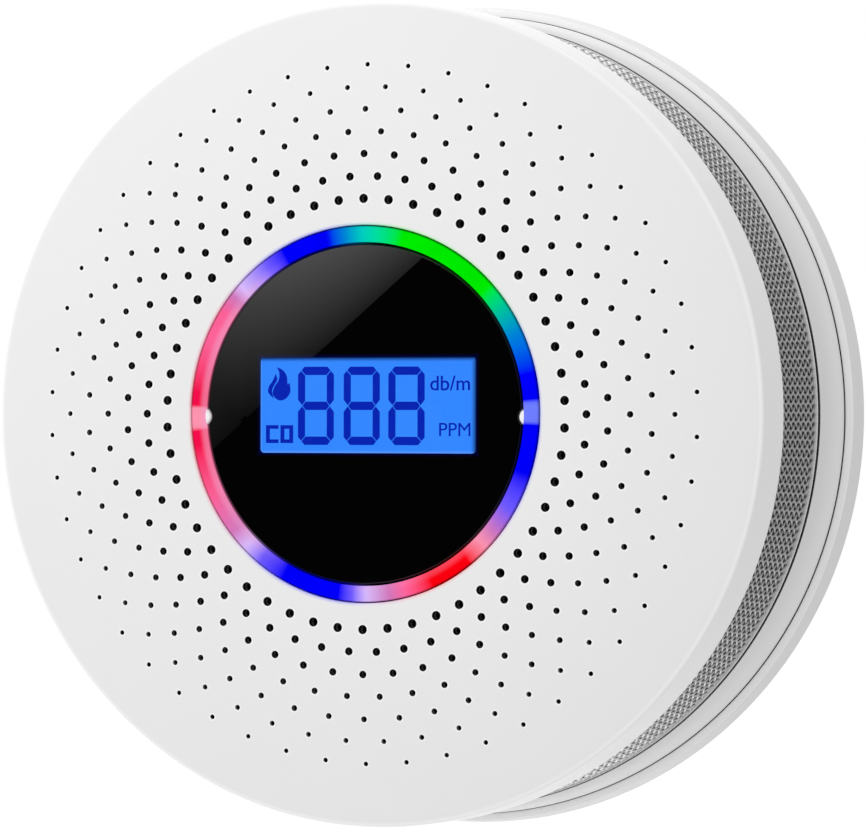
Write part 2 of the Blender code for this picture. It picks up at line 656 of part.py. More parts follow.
def make_ring_lamps(parent):
    for index in range(LAMP_COUNT):
        angle = (index + 0.5) * 360.0 / LAMP_COUNT
        x, y = polar(angle, LAMP_DISTANCE)
        mesh = slab_mesh(f"ring_led_{index + 1}", (2.8, 3.2), FRONT_SEAT, LAMP_TOP)
        add_part(f"ring_led_{index + 1}", mesh, MATERIALS["lamp_white"], PARTS, parent, (x, y, 0.0),
                 (0.0, 0.0, angle))


def make_smoke_chamber(parent):
    place = (*CHAMBER_CENTRE, 0.0)
    base_low = REAR_SEAT - 1.9
    puck = [(0.0, REAR_SEAT), (CHAMBER_RADIUS, REAR_SEAT), (CHAMBER_RADIUS, base_low), (0.0, base_low)]
    base = turned("smoke_chamber_base", puck, MATERIALS["black_plastic"], parent, place, steps=30)
    eye_angles = (180.0, 60.0)
    eye_height, eye_radius = 17.2, 1.5
    tower_heights = (eye_height + eye_radius + GAP, base_low + 0.5)
    tower_reach = (5.5, 10.5)
    towers = blocks_tool("chamber_towers", eye_angles, tower_reach, tower_heights, 3.6, parent,
                         CHAMBER_CENTRE)
    join(base, towers)
    rim, cap, wall = base_low - GAP, 12.0, 1.2
    cover = turned("smoke_chamber_cover",
                   [(0.0, cap + 1.0), (CHAMBER_RADIUS - wall, cap + 1.0), (CHAMBER_RADIUS - wall, rim),
                    (CHAMBER_RADIUS, rim), (CHAMBER_RADIUS, cap), (0.0, cap)],
                   MATERIALS["black_plastic"], parent, place, steps=30)
    slots = [15.0 + 30.0 * index for index in range(12)]
    slot_heights = (14.2, rim - 1.0)
    cut(cover, blocks_tool("chamber_slots", slots, (13.0, 16.0), slot_heights, 4.6, parent, CHAMBER_CENTRE))
    bullet = [(0.0, 2.6), (0.9, 2.3), (eye_radius, 1.2), (eye_radius, -2.2), (0.0, -2.2)]
    names, looks = ("infrared_led", "photodiode"), ("lamp_white", "black_lens")
    for name, angle, material in zip(names, eye_angles, looks):
        x, y = polar(angle, 8.0, CHAMBER_CENTRE)
        turn = (0.0, 90.0, angle + 180.0)
        turned(name, bullet, MATERIALS[material], parent, (x, y, eye_height), turn, 12)


def make_gas_sensor(parent):
    place = (*SENSOR_CENTRE, 0.0)
    shoulder, cap_top = 13.4, 13.1
    turned("co_sensor_housing",
           [(0.0, REAR_SEAT), (SENSOR_RADIUS, REAR_SEAT), (SENSOR_RADIUS, shoulder + 0.8),
            (SENSOR_RADIUS - 0.8, shoulder), (0.0, shoulder)],
           MATERIALS["steel"], parent, place, steps=24)
    turned("co_sensor_cap", [(8.6, cap_top), (8.6, cap_top - 1.2), (1.5, cap_top - 1.2), (1.5, cap_top)],
           MATERIALS["grey_rubber"], parent, place, steps=24)


def make_sounder(parent):
    place = (*SOUNDER_CENTRE, 0.0)
    top, wall = 34.2, 1.0
    turned("sounder_case",
           [(SOUNDER_RADIUS, top), (SOUNDER_RADIUS, FRONT_SEAT), (SOUNDER_RADIUS - wall, FRONT_SEAT),
            (SOUNDER_RADIUS - wall, top - wall), (1.5, top - wall), (1.5, top)],
           MATERIALS["black_plastic"], parent, place, steps=24)
    disc = [(0.0, 29.4), (6.6, 29.4), (6.6, 28.9), (0.0, 28.9)]
    turned("piezo_disc", disc, MATERIALS["brass"], parent, place, steps=24)


def make_small_components(parent):
    black, grey = MATERIALS["black_plastic"], MATERIALS["grey_rubber"]
    slab("microcontroller", (9.0, 9.0), FRONT_SEAT, FRONT_SEAT + 1.4, black, parent, (24.0, 23.0))
    slab("boost_inductor", (6.0, 6.0), FRONT_SEAT, FRONT_SEAT + 3.0, grey, parent, (-29.5, -17.5), 0.8)
    can = [(0.0, 33.3), (2.7, 33.3), (3.15, 32.9), (3.15, FRONT_SEAT), (0.0, FRONT_SEAT)]
    turned("storage_capacitor", can, MATERIALS["steel"], parent, (-24.0, 23.0, 0.0), steps=SMALL_STEPS)


def make_screw(name, place, head, shank, parent, head_first):
    """A screw with a hexagon socket; head and shank are (radius, low, high)."""
    head_radius, head_low, head_high = head
    radius, low, high = shank
    if head_first:
        outline = [(0.0, head_high), (head_radius, head_high), (head_radius, head_low), (radius, head_low),
                   (radius, low), (0.0, low - 0.8)]
        socket = (head_high - 0.7, head_high + 0.5)
    else:
        outline = [(0.0, high + 0.8), (radius, high), (radius, head_high), (head_radius, head_high),
                   (head_radius, head_low), (0.0, head_low)]
        socket = (head_low - 0.5, head_low + 0.6)
    screw = turned(name, outline, MATERIALS["steel"], parent, (*place, 0.0), steps=12)
    cut(screw, pins_tool(name + "_socket", [place], 1.0, socket, parent, 6))


def make_screws(parent):
    for index, angle in enumerate(COVER_SCREW_ANGLES):
        place = polar(angle, COVER_SCREW_DISTANCE)
        make_screw(f"cover_screw_{index + 1}", place, (2.5, 5.5, 6.4), (1.05, 6.4, 20.0), parent, False)
    for index, angle in enumerate(BOARD_SCREW_ANGLES):
        place = polar(angle, BOARD_SCREW_DISTANCE)
        head = (2.2, FRONT_SEAT, FRONT_SEAT + 1.2)
        make_screw(f"pcb_screw_{index + 1}", place, head, (0.85, 16.5, FRONT_SEAT), parent, True)


# ---------------------------------------------------------------- assembly

def build_detector():
    wall_frame = new_empty("wall_frame", PARTS, rotation=(90.0, 0.0, 0.0))
    detector = new_empty("bayonet_axis", PARTS, wall_frame)
    button = new_empty("button_guide", PARTS, detector)
    plunger = new_empty("plunger_guide", PARTS, detector, (0.0, POST_Y, 0.0))
    make_mounting_plate(wall_frame)
    make_rear_housing(detector)
    make_battery_door(detector)
    make_battery_set(detector)
    make_vent_cage(detector)
    make_mesh_screen(detector)
    make_front_cover(detector)
    make_light_ring(detector)
    make_main_board(detector)
    make_display(detector)
    make_tact_switch(detector, plunger)
    make_ring_lamps(detector)
    make_smoke_chamber(detector)
    make_gas_sensor(detector)
    make_sounder(detector)
    make_small_components(detector)
    make_screws(detector)
    make_button_lens(button)
    make_window_mask(button)
    make_button_frame(button)


clear_scene()
PARTS = new_collection("carbon_monoxide_detector")
TOOLS = new_collection("cutters")
MATERIALS = make_materials()
build_detector()
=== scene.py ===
"""The looks of the carbon monoxide detector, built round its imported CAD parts.

Outlines are in millimetres, and places in material nodes are in metres. "height" is the distance from
the wall, so the point (x, up, height) of an outline is the world point (x, -height, up). Angles are
degrees, counter-clockwise from +X as seen from the front.
"""

import json
import math

import bpy
import numpy as np
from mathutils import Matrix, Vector


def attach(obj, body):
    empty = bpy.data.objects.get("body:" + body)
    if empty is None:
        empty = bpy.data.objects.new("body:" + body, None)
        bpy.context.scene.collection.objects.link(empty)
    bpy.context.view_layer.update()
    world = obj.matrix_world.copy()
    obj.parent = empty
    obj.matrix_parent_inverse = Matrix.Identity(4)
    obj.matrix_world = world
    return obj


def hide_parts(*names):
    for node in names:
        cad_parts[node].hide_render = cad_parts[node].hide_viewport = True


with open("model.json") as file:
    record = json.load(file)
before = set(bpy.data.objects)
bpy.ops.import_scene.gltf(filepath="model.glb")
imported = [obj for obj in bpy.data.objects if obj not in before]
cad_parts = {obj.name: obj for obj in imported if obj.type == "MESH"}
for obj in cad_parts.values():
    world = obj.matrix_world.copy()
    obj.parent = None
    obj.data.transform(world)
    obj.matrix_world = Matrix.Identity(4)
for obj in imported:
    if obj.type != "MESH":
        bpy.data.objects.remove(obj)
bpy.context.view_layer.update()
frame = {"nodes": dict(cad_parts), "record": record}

MM = 0.001
ROUND = 256  # steps of a turned piece
FULL_TURN = 2 * math.pi
CREASE = 35.0  # edges sharper than this angle stay crisp

# Front cover
COVER_FACE = 38.07
DOME_START = 26.68
DOME_DROP = 2.575
DOME_RUN = 24.55
COVER_WALL = 2.0
COVER_RIM = 50.4  # radius where the domed face starts to round over
HOLE_RINGS = 7
HOLES_PER_RING = 50
HOLE_RING_STEP = 2.78
HOLE_DIAMETERS = (1.15, 1.01, 0.94, 0.80, 0.75, 0.65, 0.58)
STEPS_PER_CELL = 4
FACE_STEPS = HOLES_PER_RING * STEPS_PER_CELL
FACE_ANGLES = np.arange(FACE_STEPS) * 360.0 / FACE_STEPS
CIRCLE_STEPS = 4 * STEPS_PER_CELL

# Light ring, lens and display
RING_INNER = 21.3
RING_OUTER = 23.26
RING_TOP = 38.12
KEY_DISTANCE = 21.66
KEY_RADIUS = 1.06
KEY_ANGLES = (-0.9, 180.9)
KEY_GAP = 0.12
LENS_RADIUS = 21.0
LENS_FRONT = 38.0
LENS_BACK = 37.0
MASK_RADIUS = 20.75
MASK_FRONT = 36.7
MASK_BACK = 36.5
WINDOW_SIZE = (29.0, 11.9)
CLEAR_SIZE = (31.6, 14.4)  # the part of the lens that isn't printed black
DISPLAY_UP = 1.1
DISPLAY_TOP = 35.8
SIGN_TOP = 35.84
SIGN_SHIFT = -0.28  # the signs sit a little to the left in their window
SIGN_BASE = -4.74  # of the gas sign's letters, from the display's middle
DIGIT_SPAN = (-5.0, 4.84)
DIGIT_WIDTH = 4.95
CURVE_STEPS = 5  # of the flame's outline, between two anchors

# Mesh band: a cone between two (radius, height) ends
MESH_REAR = np.array((50.42, 11.85))
MESH_FRONT = np.array((46.95, 31.15))
WEAVE_WIRES = 278
WEAVE_PITCH = 0.645  # distance between crossings along the cone
WIRE_RADIUS = 0.19
WIRE_SIDES = 5
WIRE_DEPTH = 0.28  # of the weave's middle under the cone
WIRE_LIFT = 0.10  # of a wire over and under that middle
LINER_DEPTH = 0.75
LINER_WALL = 0.3

# Rear housing and wall plate
LUG_ANGLES = (60.0, 180.0, 300.0)
STOP_OFFSET = 8.2  # degrees clockwise of the lug
SCREW_ANGLES = (90.0, 210.0, 330.0)
BAY_SIZE = (57.4, 30.2)
BAY_UP = -13.8
BAY_WALL = 1.6
DOOR_LEDGE = 2.2
HOUSING_BACK = 4.6  # cutters into the housing's back start here
SLOT_DISTANCE = 30.0
SLOT_SIZE = (12.0, 4.4)

# Finishes; the scales are of noise, per metre
CLOUD_SCALE = 70.0
GLOSS_SCALE = 300.0
GRAIN_SCALE = 3500.0
NOISE_SPAN = (0.3, 0.7)  # the values that noise mostly takes
FINE_GRAIN = 0.01 * MM
GLOSS_CHANGE = 0.04
LIGHT_SPLIT = (-178.0, 118.0, 182.0)  # the ring's colours are two runs between these angles

# Floor and reflection card, in millimetres
FLOOR_HALF = 9000.0
FLOOR_UP = -320.0
CARD_DEPTH = -938.0
CARD_HALF = 170.0

# Camera and light, in metres and degrees, with the lens in millimetres
CAMERA_PLACE = (0.2548, -0.6446, -0.00178)
CAMERA_ANGLES = (90.146, -0.136, 22.031)
CAMERA_LENS = 221.02
MIDDLE = (0.0, -0.03, 0.0)  # what the light points at
MIRROR_DIRECTION = (-0.37, -0.93, 0.0)  # what the camera sees reflected in the lens
SKY_LEVEL = 0.862
SKY_SLOPE = (-0.21, -0.06, 0.04)  # change of the sky's light along X, Y and Z


# ---- meshes

def spot(radius, angle, height):
    turn = np.radians(angle)
    return np.stack(np.broadcast_arrays(radius * np.cos(turn), -height, radius * np.sin(turn)), axis=-1)


def new_object(name, data):
    item = bpy.data.objects.new(name, data)
    bpy.context.scene.collection.objects.link(item)
    return item


def new_piece(name, points, faces, materials, face_slots=None, sharp=CREASE):
    """A smooth-shaded mesh object from points in millimetres."""
    mesh = bpy.data.meshes.new(name)
    mesh.from_pydata((np.asarray(points, float) * MM).tolist(), [], [list(face) for face in faces])
    for material in materials:
        mesh.materials.append(material)
    if face_slots is not None:
        mesh.polygons.foreach_set("material_index", face_slots)
    piece = new_object(name, mesh)
    shade(piece, sharp)
    return piece


def shade(piece, sharp):
    mesh = piece.data
    mesh.polygons.foreach_set("use_smooth", [True] * len(mesh.polygons))
    mesh.set_sharp_from_angle(angle=math.radians(sharp))


def weigh_normals(piece):
    modifier = piece.modifiers.new("even_shading", "WEIGHTED_NORMAL")
    modifier.keep_sharp = True
    modifier.weight = 80
    return piece


def softened(corners, closed=True, steps=4):
    """Rounds the corners of an outline. Each corner is (radius, height) or (radius, height, softness)."""
    points = []
    for index, corner in enumerate(corners):
        here = np.array(corner[:2], float)
        soft = corner[2] if len(corner) > 2 else 0.0
        at_end = not closed and index in (0, len(corners) - 1)
        if soft == 0.0 or at_end:
            points.append(here)
            continue
        before = np.array(corners[index - 1][:2], float) - here
        after = np.array(corners[(index + 1) % len(corners)][:2], float) - here
        start = here + before / np.linalg.norm(before) * soft
        end = here + after / np.linalg.norm(after) * soft
        for share in np.linspace(0.0, 1.0, steps + 1):
            points.append(start * (1 - share) ** 2 + here * 2 * share * (1 - share) + end * share ** 2)
    return points


def turned(name, corners, materials, closed=True):
    """Spins an outline about the detector's axis. It runs down the outer side."""
    angles = np.arange(ROUND) * 360.0 / ROUND
    points, faces, rows = [], [], []
    for radius, height in softened(corners, closed):
        if radius == 0.0:
            rows.append([len(points)] * ROUND)
            points.append((0.0, -height, 0.0))
        else:
            rows.append(list(range(len(points), len(points) + ROUND)))
            points.extend(spot(radius, angles, height))
    last = len(rows) if closed else len(rows) - 1
    for row in range(last):
        here, below = rows[row], rows[(row + 1) % len(rows)]
        for step in range(ROUND):
            after = (step + 1) % ROUND
            face = [here[step], below[step], below[after], here[after]]
            faces.append(list(dict.fromkeys(face)))
    return new_piece(name, points, faces, materials)


def rounded_rectangle(size, corner, steps=6):
    """Corner points of a rectangle round the origin, counter-clockwise."""
    half_x, half_up = size[0] / 2 - corner, size[1] / 2 - corner
    points = []
    for quarter, (side_x, side_up) in enumerate(((1, 1), (-1, 1), (-1, -1), (1, -1))):
        for share in np.linspace(0.0, 1.0, steps + 1):
            angle = (quarter + share) * math.pi / 2
            points.append((side_x * half_x + corner * math.cos(angle),
                           side_up * half_up + corner * math.sin(angle)))
    return points


def inset(points, distance):
    """Moves every side of a counter-clockwise outline inwards."""
    points = np.asarray(points, float)
    sides = np.roll(points, -1, axis=0) - points
    lengths = np.linalg.norm(sides, axis=1, keepdims=True)
    sides = sides / lengths
    inward = np.stack((-sides[:, 1], sides[:, 0]), axis=1)
    moved = []
    for index in range(len(points)):
        one, two = inward[index - 1], inward[index]
        bisector = one + two
        moved.append(points[index] + bisector * distance / (1.0 + one @ two))
    return np.array(moved)


def prism_data(outline, layers):
    """Points and faces of one solid; layers are (height, inset) from the front face back."""
    points, faces = [], []
    count = len(outline)
    for height, distance in layers:
        ring = inset(outline, distance) if distance else np.asarray(outline, float)
        points.extend((x, -height, up) for x, up in ring)
    faces.append(list(range(count)))
    for layer in range(len(layers) - 1):
        for index in range(count):
            after = (index + 1) % count
            top, below = layer * count, (layer + 1) * count
            faces.append([top + after, top + index, below + index, below + after])
    faces.append(list(reversed(range((len(layers) - 1) * count, len(layers) * count))))
    return points, faces


def merged(parts):
    """Joins several (points, faces) solids into one."""
    points, faces = [], []
    for part_points, part_faces in parts:
        start = len(points)
        points.extend(part_points)
        faces.extend([index + start for index in face] for face in part_faces)
    return points, faces


def plates(name, outlines, layers, materials, sharp=CREASE):
    """Solids with these outlines in one piece; layers are as in prism_data."""
    points, faces = merged([prism_data(outline, layers) for outline in outlines])
    return new_piece(name, points, faces, materials, sharp=sharp)


def placed(outline, centre, angle=0.0):
    turn = math.radians(angle)
    spin = np.array(((math.cos(turn), -math.sin(turn)), (math.sin(turn), math.cos(turn))))
    return np.asarray(outline, float) @ spin.T + np.asarray(centre, float)


def polar(angle, distance):
    return distance * math.cos(math.radians(angle)), distance * math.sin(math.radians(angle))


def shaped(piece, joined=(), removed=(), sharp=CREASE):
    """Adds and cuts helper solids, then keeps the finished mesh only."""
    tools = [(tool, "UNION") for tool in joined] + [(tool, "DIFFERENCE") for tool in removed]
    for tool, operation in tools:
        modifier = piece.modifiers.new(tool.name, "BOOLEAN")
        modifier.operation = operation
        modifier.solver = "EXACT"
        modifier.object = tool
    graph = bpy.context.evaluated_depsgraph_get()
    finished = bpy.data.meshes.new_from_object(piece.evaluated_get(graph))
    piece.modifiers.clear()
    piece.data = finished
    for tool, _ in tools:
        bpy.data.objects.remove(tool)
    shade(piece, sharp)
    return piece


def blocks(name, angles, radii, heights, width, edge=0.0):
    """Solids that reach from an inner to an outer radius at each angle; edge chamfers both ends."""
    outline = rounded_rectangle((radii[1] - radii[0], width), 0.25, 2)
    layers = [(heights[1], edge), (heights[1] - edge, 0.0), (heights[0] + edge, 0.0), (heights[0], edge)]
    if not edge:
        layers = layers[1:3]
    outlines = [placed(outline, polar(angle, sum(radii) / 2), angle) for angle in angles]
    return plates(name, outlines, layers, [])


def slots(name, places, size, corner, heights, flare=0.0):
    """Solids with rounded corners, which widen by flare towards both ends."""
    outline = rounded_rectangle(size, corner)
    low, high = heights
    outlines = [placed(outline, centre, angle) for centre, angle in places]
    layers = [(high, -flare), (high - 0.6, -flare), (high - 0.6 - flare, 0.0),
              (low + 0.6 + flare, 0.0), (low + 0.6, -flare), (low, -flare)]
    if not flare:
        layers = [(high, 0.0), (low, 0.0)]
    return plates(name, outlines, layers, [])


def circle(radius):
    turns = np.arange(32) * FULL_TURN / 32
    return np.stack((np.cos(turns), np.sin(turns)), axis=1) * radius


def pins(name, places, radius, heights):
    outlines = [placed(circle(radius), place) for place in places]
    return plates(name, outlines, [(heights[1], 0.0), (heights[0], 0.0)], [])


def dress(piece, slot, *nodes, body="detector"):
    """Puts a piece on its CAD body and hides the CAD nodes it stands for; slot is not used."""
    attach(piece, body)
    if nodes:
        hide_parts(*nodes)


# ---- material nodes

def linear(red, green, blue):
    """Screen colour (0 to 255) as the renderer's colour."""
    def channel(value):
        value /= 255.0
        return value / 12.92 if value <= 0.04045 else ((value + 0.055) / 1.055) ** 2.4
    return channel(red), channel(green), channel(blue), 1.0


class Nodes:
    """Short names for the nodes that the materials below are made of."""

    def __init__(self, tree):
        self.tree = tree

    def new(self, kind, **settings):
        node = self.tree.nodes.new(kind)
        for key, value in settings.items():
            setattr(node, key, value)
        return node

    def feed(self, socket, value):
        if isinstance(value, bpy.types.NodeSocket):
            self.tree.links.new(value, socket)
        else:
            socket.default_value = value

    def place(self):
        return self.new("ShaderNodeTexCoord").outputs["Object"]

    def split(self, vector=None):
        """The three parts of a vector, or of the place that is being shaded."""
        node = self.new("ShaderNodeSeparateXYZ")
        self.feed(node.inputs[0], vector or self.place())
        return node.outputs

    def scaled(self, vector, scale):
        node = self.new("ShaderNodeVectorMath", operation="MULTIPLY")
        self.feed(node.inputs[0], vector)
        self.feed(node.inputs[1], scale)
        return node.outputs[0]

    def noise(self, scale, detail=2.0, vector=None):
        node = self.new("ShaderNodeTexNoise")
        self.feed(node.inputs["Vector"], vector or self.place())
        node.inputs["Scale"].default_value = scale
        node.inputs["Detail"].default_value = detail
        return node.outputs[0]

    def math(self, operation, one, two=0.0):
        node = self.new("ShaderNodeMath", operation=operation)
        self.feed(node.inputs[0], one)
        self.feed(node.inputs[1], two)
        return node.outputs[0]

    def times(self, one, two):
        return self.math("MULTIPLY", one, two)

    def plus(self, one, two):
        return self.math("ADD", one, two)

    def minus(self, one, two):
        return self.math("SUBTRACT", one, two)

    def size(self, one):
        return self.math("ABSOLUTE", one)

    def reach(self, one, two):
        """Length of the side across from the right angle between one and two."""
        return self.math("SQRT", self.plus(self.times(one, one), self.times(two, two)))

    def dot(self, one, two):
        node = self.new("ShaderNodeVectorMath", operation="DOT_PRODUCT")
        self.feed(node.inputs[0], one)
        self.feed(node.inputs[1], two)
        return node.outputs["Value"]

    def ranged(self, value, from_range, to_range=(0.0, 1.0), kind="LINEAR"):
        node = self.new("ShaderNodeMapRange", interpolation_type=kind)
        for socket, item in zip(node.inputs, (value, *from_range, *to_range)):
            self.feed(socket, item)
        return node.outputs[0]

    def eased(self, value, from_range, to_range=(0.0, 1.0)):
        return self.ranged(value, from_range, to_range, "SMOOTHSTEP")

    def mixed(self, share, one, two):
        node = self.new("ShaderNodeMix", data_type="RGBA")
        self.feed(node.inputs[0], share)
        self.feed(node.inputs[6], one)
        self.feed(node.inputs[7], two)
        return node.outputs[2]

    def bump(self, height, distance, strength=1.0):
        node = self.new("ShaderNodeBump")
        self.feed(node.inputs["Height"], height)
        node.inputs["Distance"].default_value = distance
        node.inputs["Strength"].default_value = strength
        return node.outputs[0]


SHADER_INPUTS = {
    "base": "Base Color",
    "roughness": "Roughness",
    "metallic": "Metallic",
    "specular": "Specular IOR Level",
    "refraction": "IOR",
    "glow_colour": "Emission Color",
    "glow": "Emission Strength",
    "normal": "Normal",
}


class Look(Nodes):
    """A material and its nodes."""

    def __init__(self, name, **values):
        self.name = name
        self.material = bpy.data.materials.new(name + "_look")
        self.material.use_nodes = True
        super().__init__(self.material.node_tree)
        self.set(**values)

    def set(self, **values):
        """Gives the shader plain values or what other nodes put out."""
        for key, value in values.items():
            self.feed(self.tree.nodes["Principled BSDF"].inputs[SHADER_INPUTS[key]], value)


def grey(value):
    return value, value, value, 1.0


def shift(colour, factor):
    return (*(min(1.0, part * factor) for part in colour[:3]), 1.0)


def clouded(look, one, two):
    """Faint wide clouds between two colours."""
    return look.mixed(look.noise(CLOUD_SCALE, 3.0), one, two)


def satin(look, roughness, grain=FINE_GRAIN):
    """Uneven gloss and a fine grain, as a mould leaves them."""
    gloss = (roughness - GLOSS_CHANGE, roughness + GLOSS_CHANGE)
    look.set(roughness=look.ranged(look.noise(GLOSS_SCALE), NOISE_SPAN, gloss),
             normal=look.bump(look.noise(GRAIN_SCALE), grain, 0.3))


def moulded_plastic(name, colour, roughness, grain=FINE_GRAIN, specular=0.5, change=0.03):
    look = Look(name, specular=specular)
    look.set(base=clouded(look, shift(colour, 1 - change), shift(colour, 1 + change)))
    satin(look, roughness, grain)
    return look


def metal(name, colour, roughness, stretch):
    """Plain metal with fine drawing marks along one axis."""
    look = Look(name, metallic=1.0)
    marks = look.noise(900.0, 4.0, look.scaled(look.place(), stretch))
    gloss = (roughness - 2 * GLOSS_CHANGE, roughness + 2 * GLOSS_CHANGE)
    look.set(base=look.mixed(marks, shift(colour, 0.85), shift(colour, 1.1)),
             roughness=look.ranged(marks, NOISE_SPAN, gloss), normal=look.bump(marks, FINE_GRAIN, 0.4))
    return look


def wire_crest(look):
    """How far a point of the weave stands out: 1 on top of a crossing, 0.1 where the wire dips under. It
    masks the weave's painted highlights and painted shade.
    """
    x, depth, up = look.split()
    rear = MESH_REAR * MM
    along = MESH_FRONT - MESH_REAR
    run = look.minus(look.times(depth, -1.0), rear[1])
    cone = look.plus(look.times(run, along[0] / along[1]), rear[0])
    proud = look.minus(look.reach(x, up), cone)
    return look.eased(proud, (-0.24 * MM, -0.02 * MM), (0.1, 1.0))


def wire_metal(name, darkest, palest, metallic):
    """Dull stainless wire with painted light: painted highlights on the crossings' tops, painted shade where
    the wires dip under, and a painted sheen that makes it paler where the band is seen at a grazing angle.
    """
    look = Look(name, metallic=metallic)
    tone = look.noise(500.0, 3.0)
    geometry = look.new("ShaderNodeNewGeometry").outputs
    outward = look.new("ShaderNodeVectorMath", operation="NORMALIZE")
    look.feed(outward.inputs[0], look.scaled(geometry["Position"], (1.0, 0.0, 1.0)))
    # painted sheen: paler where the band is seen at a grazing angle
    flat = look.ranged(look.dot(outward.outputs[0], geometry["Incoming"]), (0.37, 0.10))
    dull = look.mixed(tone, grey(darkest), grey(darkest * 1.3))
    # painted highlight on the crossings' tops, painted shade where the wires dip under
    crest_highlight = look.mixed(flat, dull, grey(palest))
    dip_shade = look.mixed(flat, grey(darkest * 0.3), grey(palest * 0.75))
    look.set(base=look.mixed(wire_crest(look), dip_shade, crest_highlight),
             roughness=look.ranged(tone, NOISE_SPAN, (0.42, 0.54)))
    return look


def solder_mask():
    """Green board coating with copper tracks under it."""
    look = Look("board", roughness=0.35)
    tracks = look.new("ShaderNodeTexBrick")
    look.feed(tracks.inputs["Vector"], look.scaled(look.place(), (1.0, 0.0, 1.0)))
    tracks.inputs["Scale"].default_value = 260.0
    tracks.inputs["Mortar Size"].default_value = 0.03
    patches = look.ranged(look.noise(120.0, 1.0), (0.45, 0.55))
    line = look.times(tracks.outputs["Fac"], patches)
    look.set(base=look.mixed(line, (0.012, 0.13, 0.05, 1.0), (0.05, 0.3, 0.12, 1.0)))
    look.set(normal=look.bump(line, 3 * FINE_GRAIN))
    return look


def cell_wrap():
    """Dark cell wrapper with a copper-coloured end band."""
    look = Look("cell_can", metallic=0.4, roughness=0.3)
    along = look.split()[0]
    band = look.ranged(look.size(along), (0.0150, 0.0153))
    worn = look.noise(400.0, 3.0)
    dark = look.mixed(worn, (0.01, 0.011, 0.014, 1.0), (0.03, 0.032, 0.04, 1.0))
    look.set(base=look.mixed(band, dark, (0.55, 0.27, 0.12, 1.0)))
    return look


def hole_wall():
    """Painted shade inside the vent holes: their white plastic walls are coloured near black, with a painted
    glint as a paler belt a little way in.
    """
    look = Look("hole_wall", roughness=0.35)
    depth = look.split()[1]
    # painted glint: a paler belt about 36.9 mm from the wall
    fading_in = look.eased(depth, (-0.0374, -0.0369))
    fading_out = look.eased(depth, (-0.0369, -0.0364), (1.0, 0.0))
    # painted shade: the walls are coloured near black
    dark = look.mixed(look.noise(2000.0), grey(0.004), grey(0.012))
    look.set(base=look.mixed(look.times(fading_in, fading_out), dark, grey(0.3)))
    return look


LIGHT_COLOURS = {
    "teal": (0, 208, 190),
    "green": (0, 235, 0),
    "cyan_blue": (0, 130, 215),
    "blue": (0, 0, 250),
    "sky": (110, 126, 255),
    "violet": (110, 90, 255),
    "lilac": (218, 187, 252),
    "pink": (252, 98, 152),
    "pale_pink": (254, 148, 176),
    "rose": (208, 120, 188),
    "crimson": (245, 14, 76),
    "red": (252, 0, 15),
}
LIGHT_ROUND = (
    (-178.0, "pale_pink"), (-175.8, "pale_pink"), (-174.8, "crimson"), (-170.0, "crimson"), (-153.0, "pink"),
    (-139.5, "rose"), (-133.5, "lilac"), (-127.0, "violet"), (-118.0, "blue"), (-98.0, "blue"),
    (-93.5, "violet"), (-88.5, "lilac"), (-81.0, "rose"), (-75.0, "pink"), (-66.0, "red"), (-52.0, "red"),
    (-45.0, "pale_pink"), (-40.0, "rose"), (-31.0, "violet"), (-19.0, "blue"), (-3.0, "blue"), (-2.2, "sky"),
    (3.4, "sky"), (4.2, "blue"), (13.0, "blue"), (26.0, "cyan_blue"), (43.0, "green"), (77.0, "green"),
    (90.0, "teal"), (96.5, "cyan_blue"), (102.0, "blue"), (118.0, "blue"),
)
LIGHT_LEFT = (
    (118.0, "blue"), (125.0, "violet"), (136.0, "lilac"), (140.0, "rose"), (146.0, "pink"), (157.0, "pink"),
    (173.0, "crimson"), (177.3, "crimson"), (178.2, "pale_pink"), (182.0, "pale_pink"),
)


def colour_stops(look, angle, stops, start, end):
    ramp = look.new("ShaderNodeValToRGB")
    elements = ramp.color_ramp.elements
    for index, (stop, name) in enumerate(stops):
        place = (stop - start) / (end - start)
        element = elements[index] if index < 2 else elements.new(place)
        element.position = place
        element.color = linear(*LIGHT_COLOURS[name])
    look.feed(ramp.inputs[0], look.ranged(angle, (math.radians(start), math.radians(end))))
    return ramp.outputs[0]


def ring_light(look, x, up):
    """Colour of the ring's light at each angle, and the distance from the axis."""
    angle = look.math("ARCTAN2", up, x)
    start, split, end = LIGHT_SPLIT
    most = colour_stops(look, angle, LIGHT_ROUND, start, split)
    left = colour_stops(look, angle, LIGHT_LEFT, split, end)
    on_left = look.math("GREATER_THAN", angle, math.radians(split))
    return look.mixed(on_left, most, left), look.reach(x, up)


def cover_plastic():
    """White shell plastic, with a painted highlight that makes it paler from the rim's rounding outwards,
    and painted coloured light from the light ring beside it.
    """
    look = Look("cover")
    x, _, up = look.split()
    colour, radius = ring_light(look, x, up)
    face = clouded(look, grey(0.855), grey(0.868))
    # painted highlight: paler from 50.6 mm radius outwards
    white = look.mixed(look.ranged(radius, (0.0506, 0.0510)), face, grey(0.95))
    # painted light: the ring's colour spilled onto the shell beside it
    painted_ring_glow = look.mixed(0.55, colour, grey(1.0))
    near_ring = look.eased(radius, (0.02345, 0.0239), (0.9, 0.0))
    look.set(base=look.mixed(near_ring, white, painted_ring_glow))
    satin(look, 0.40)
    return look


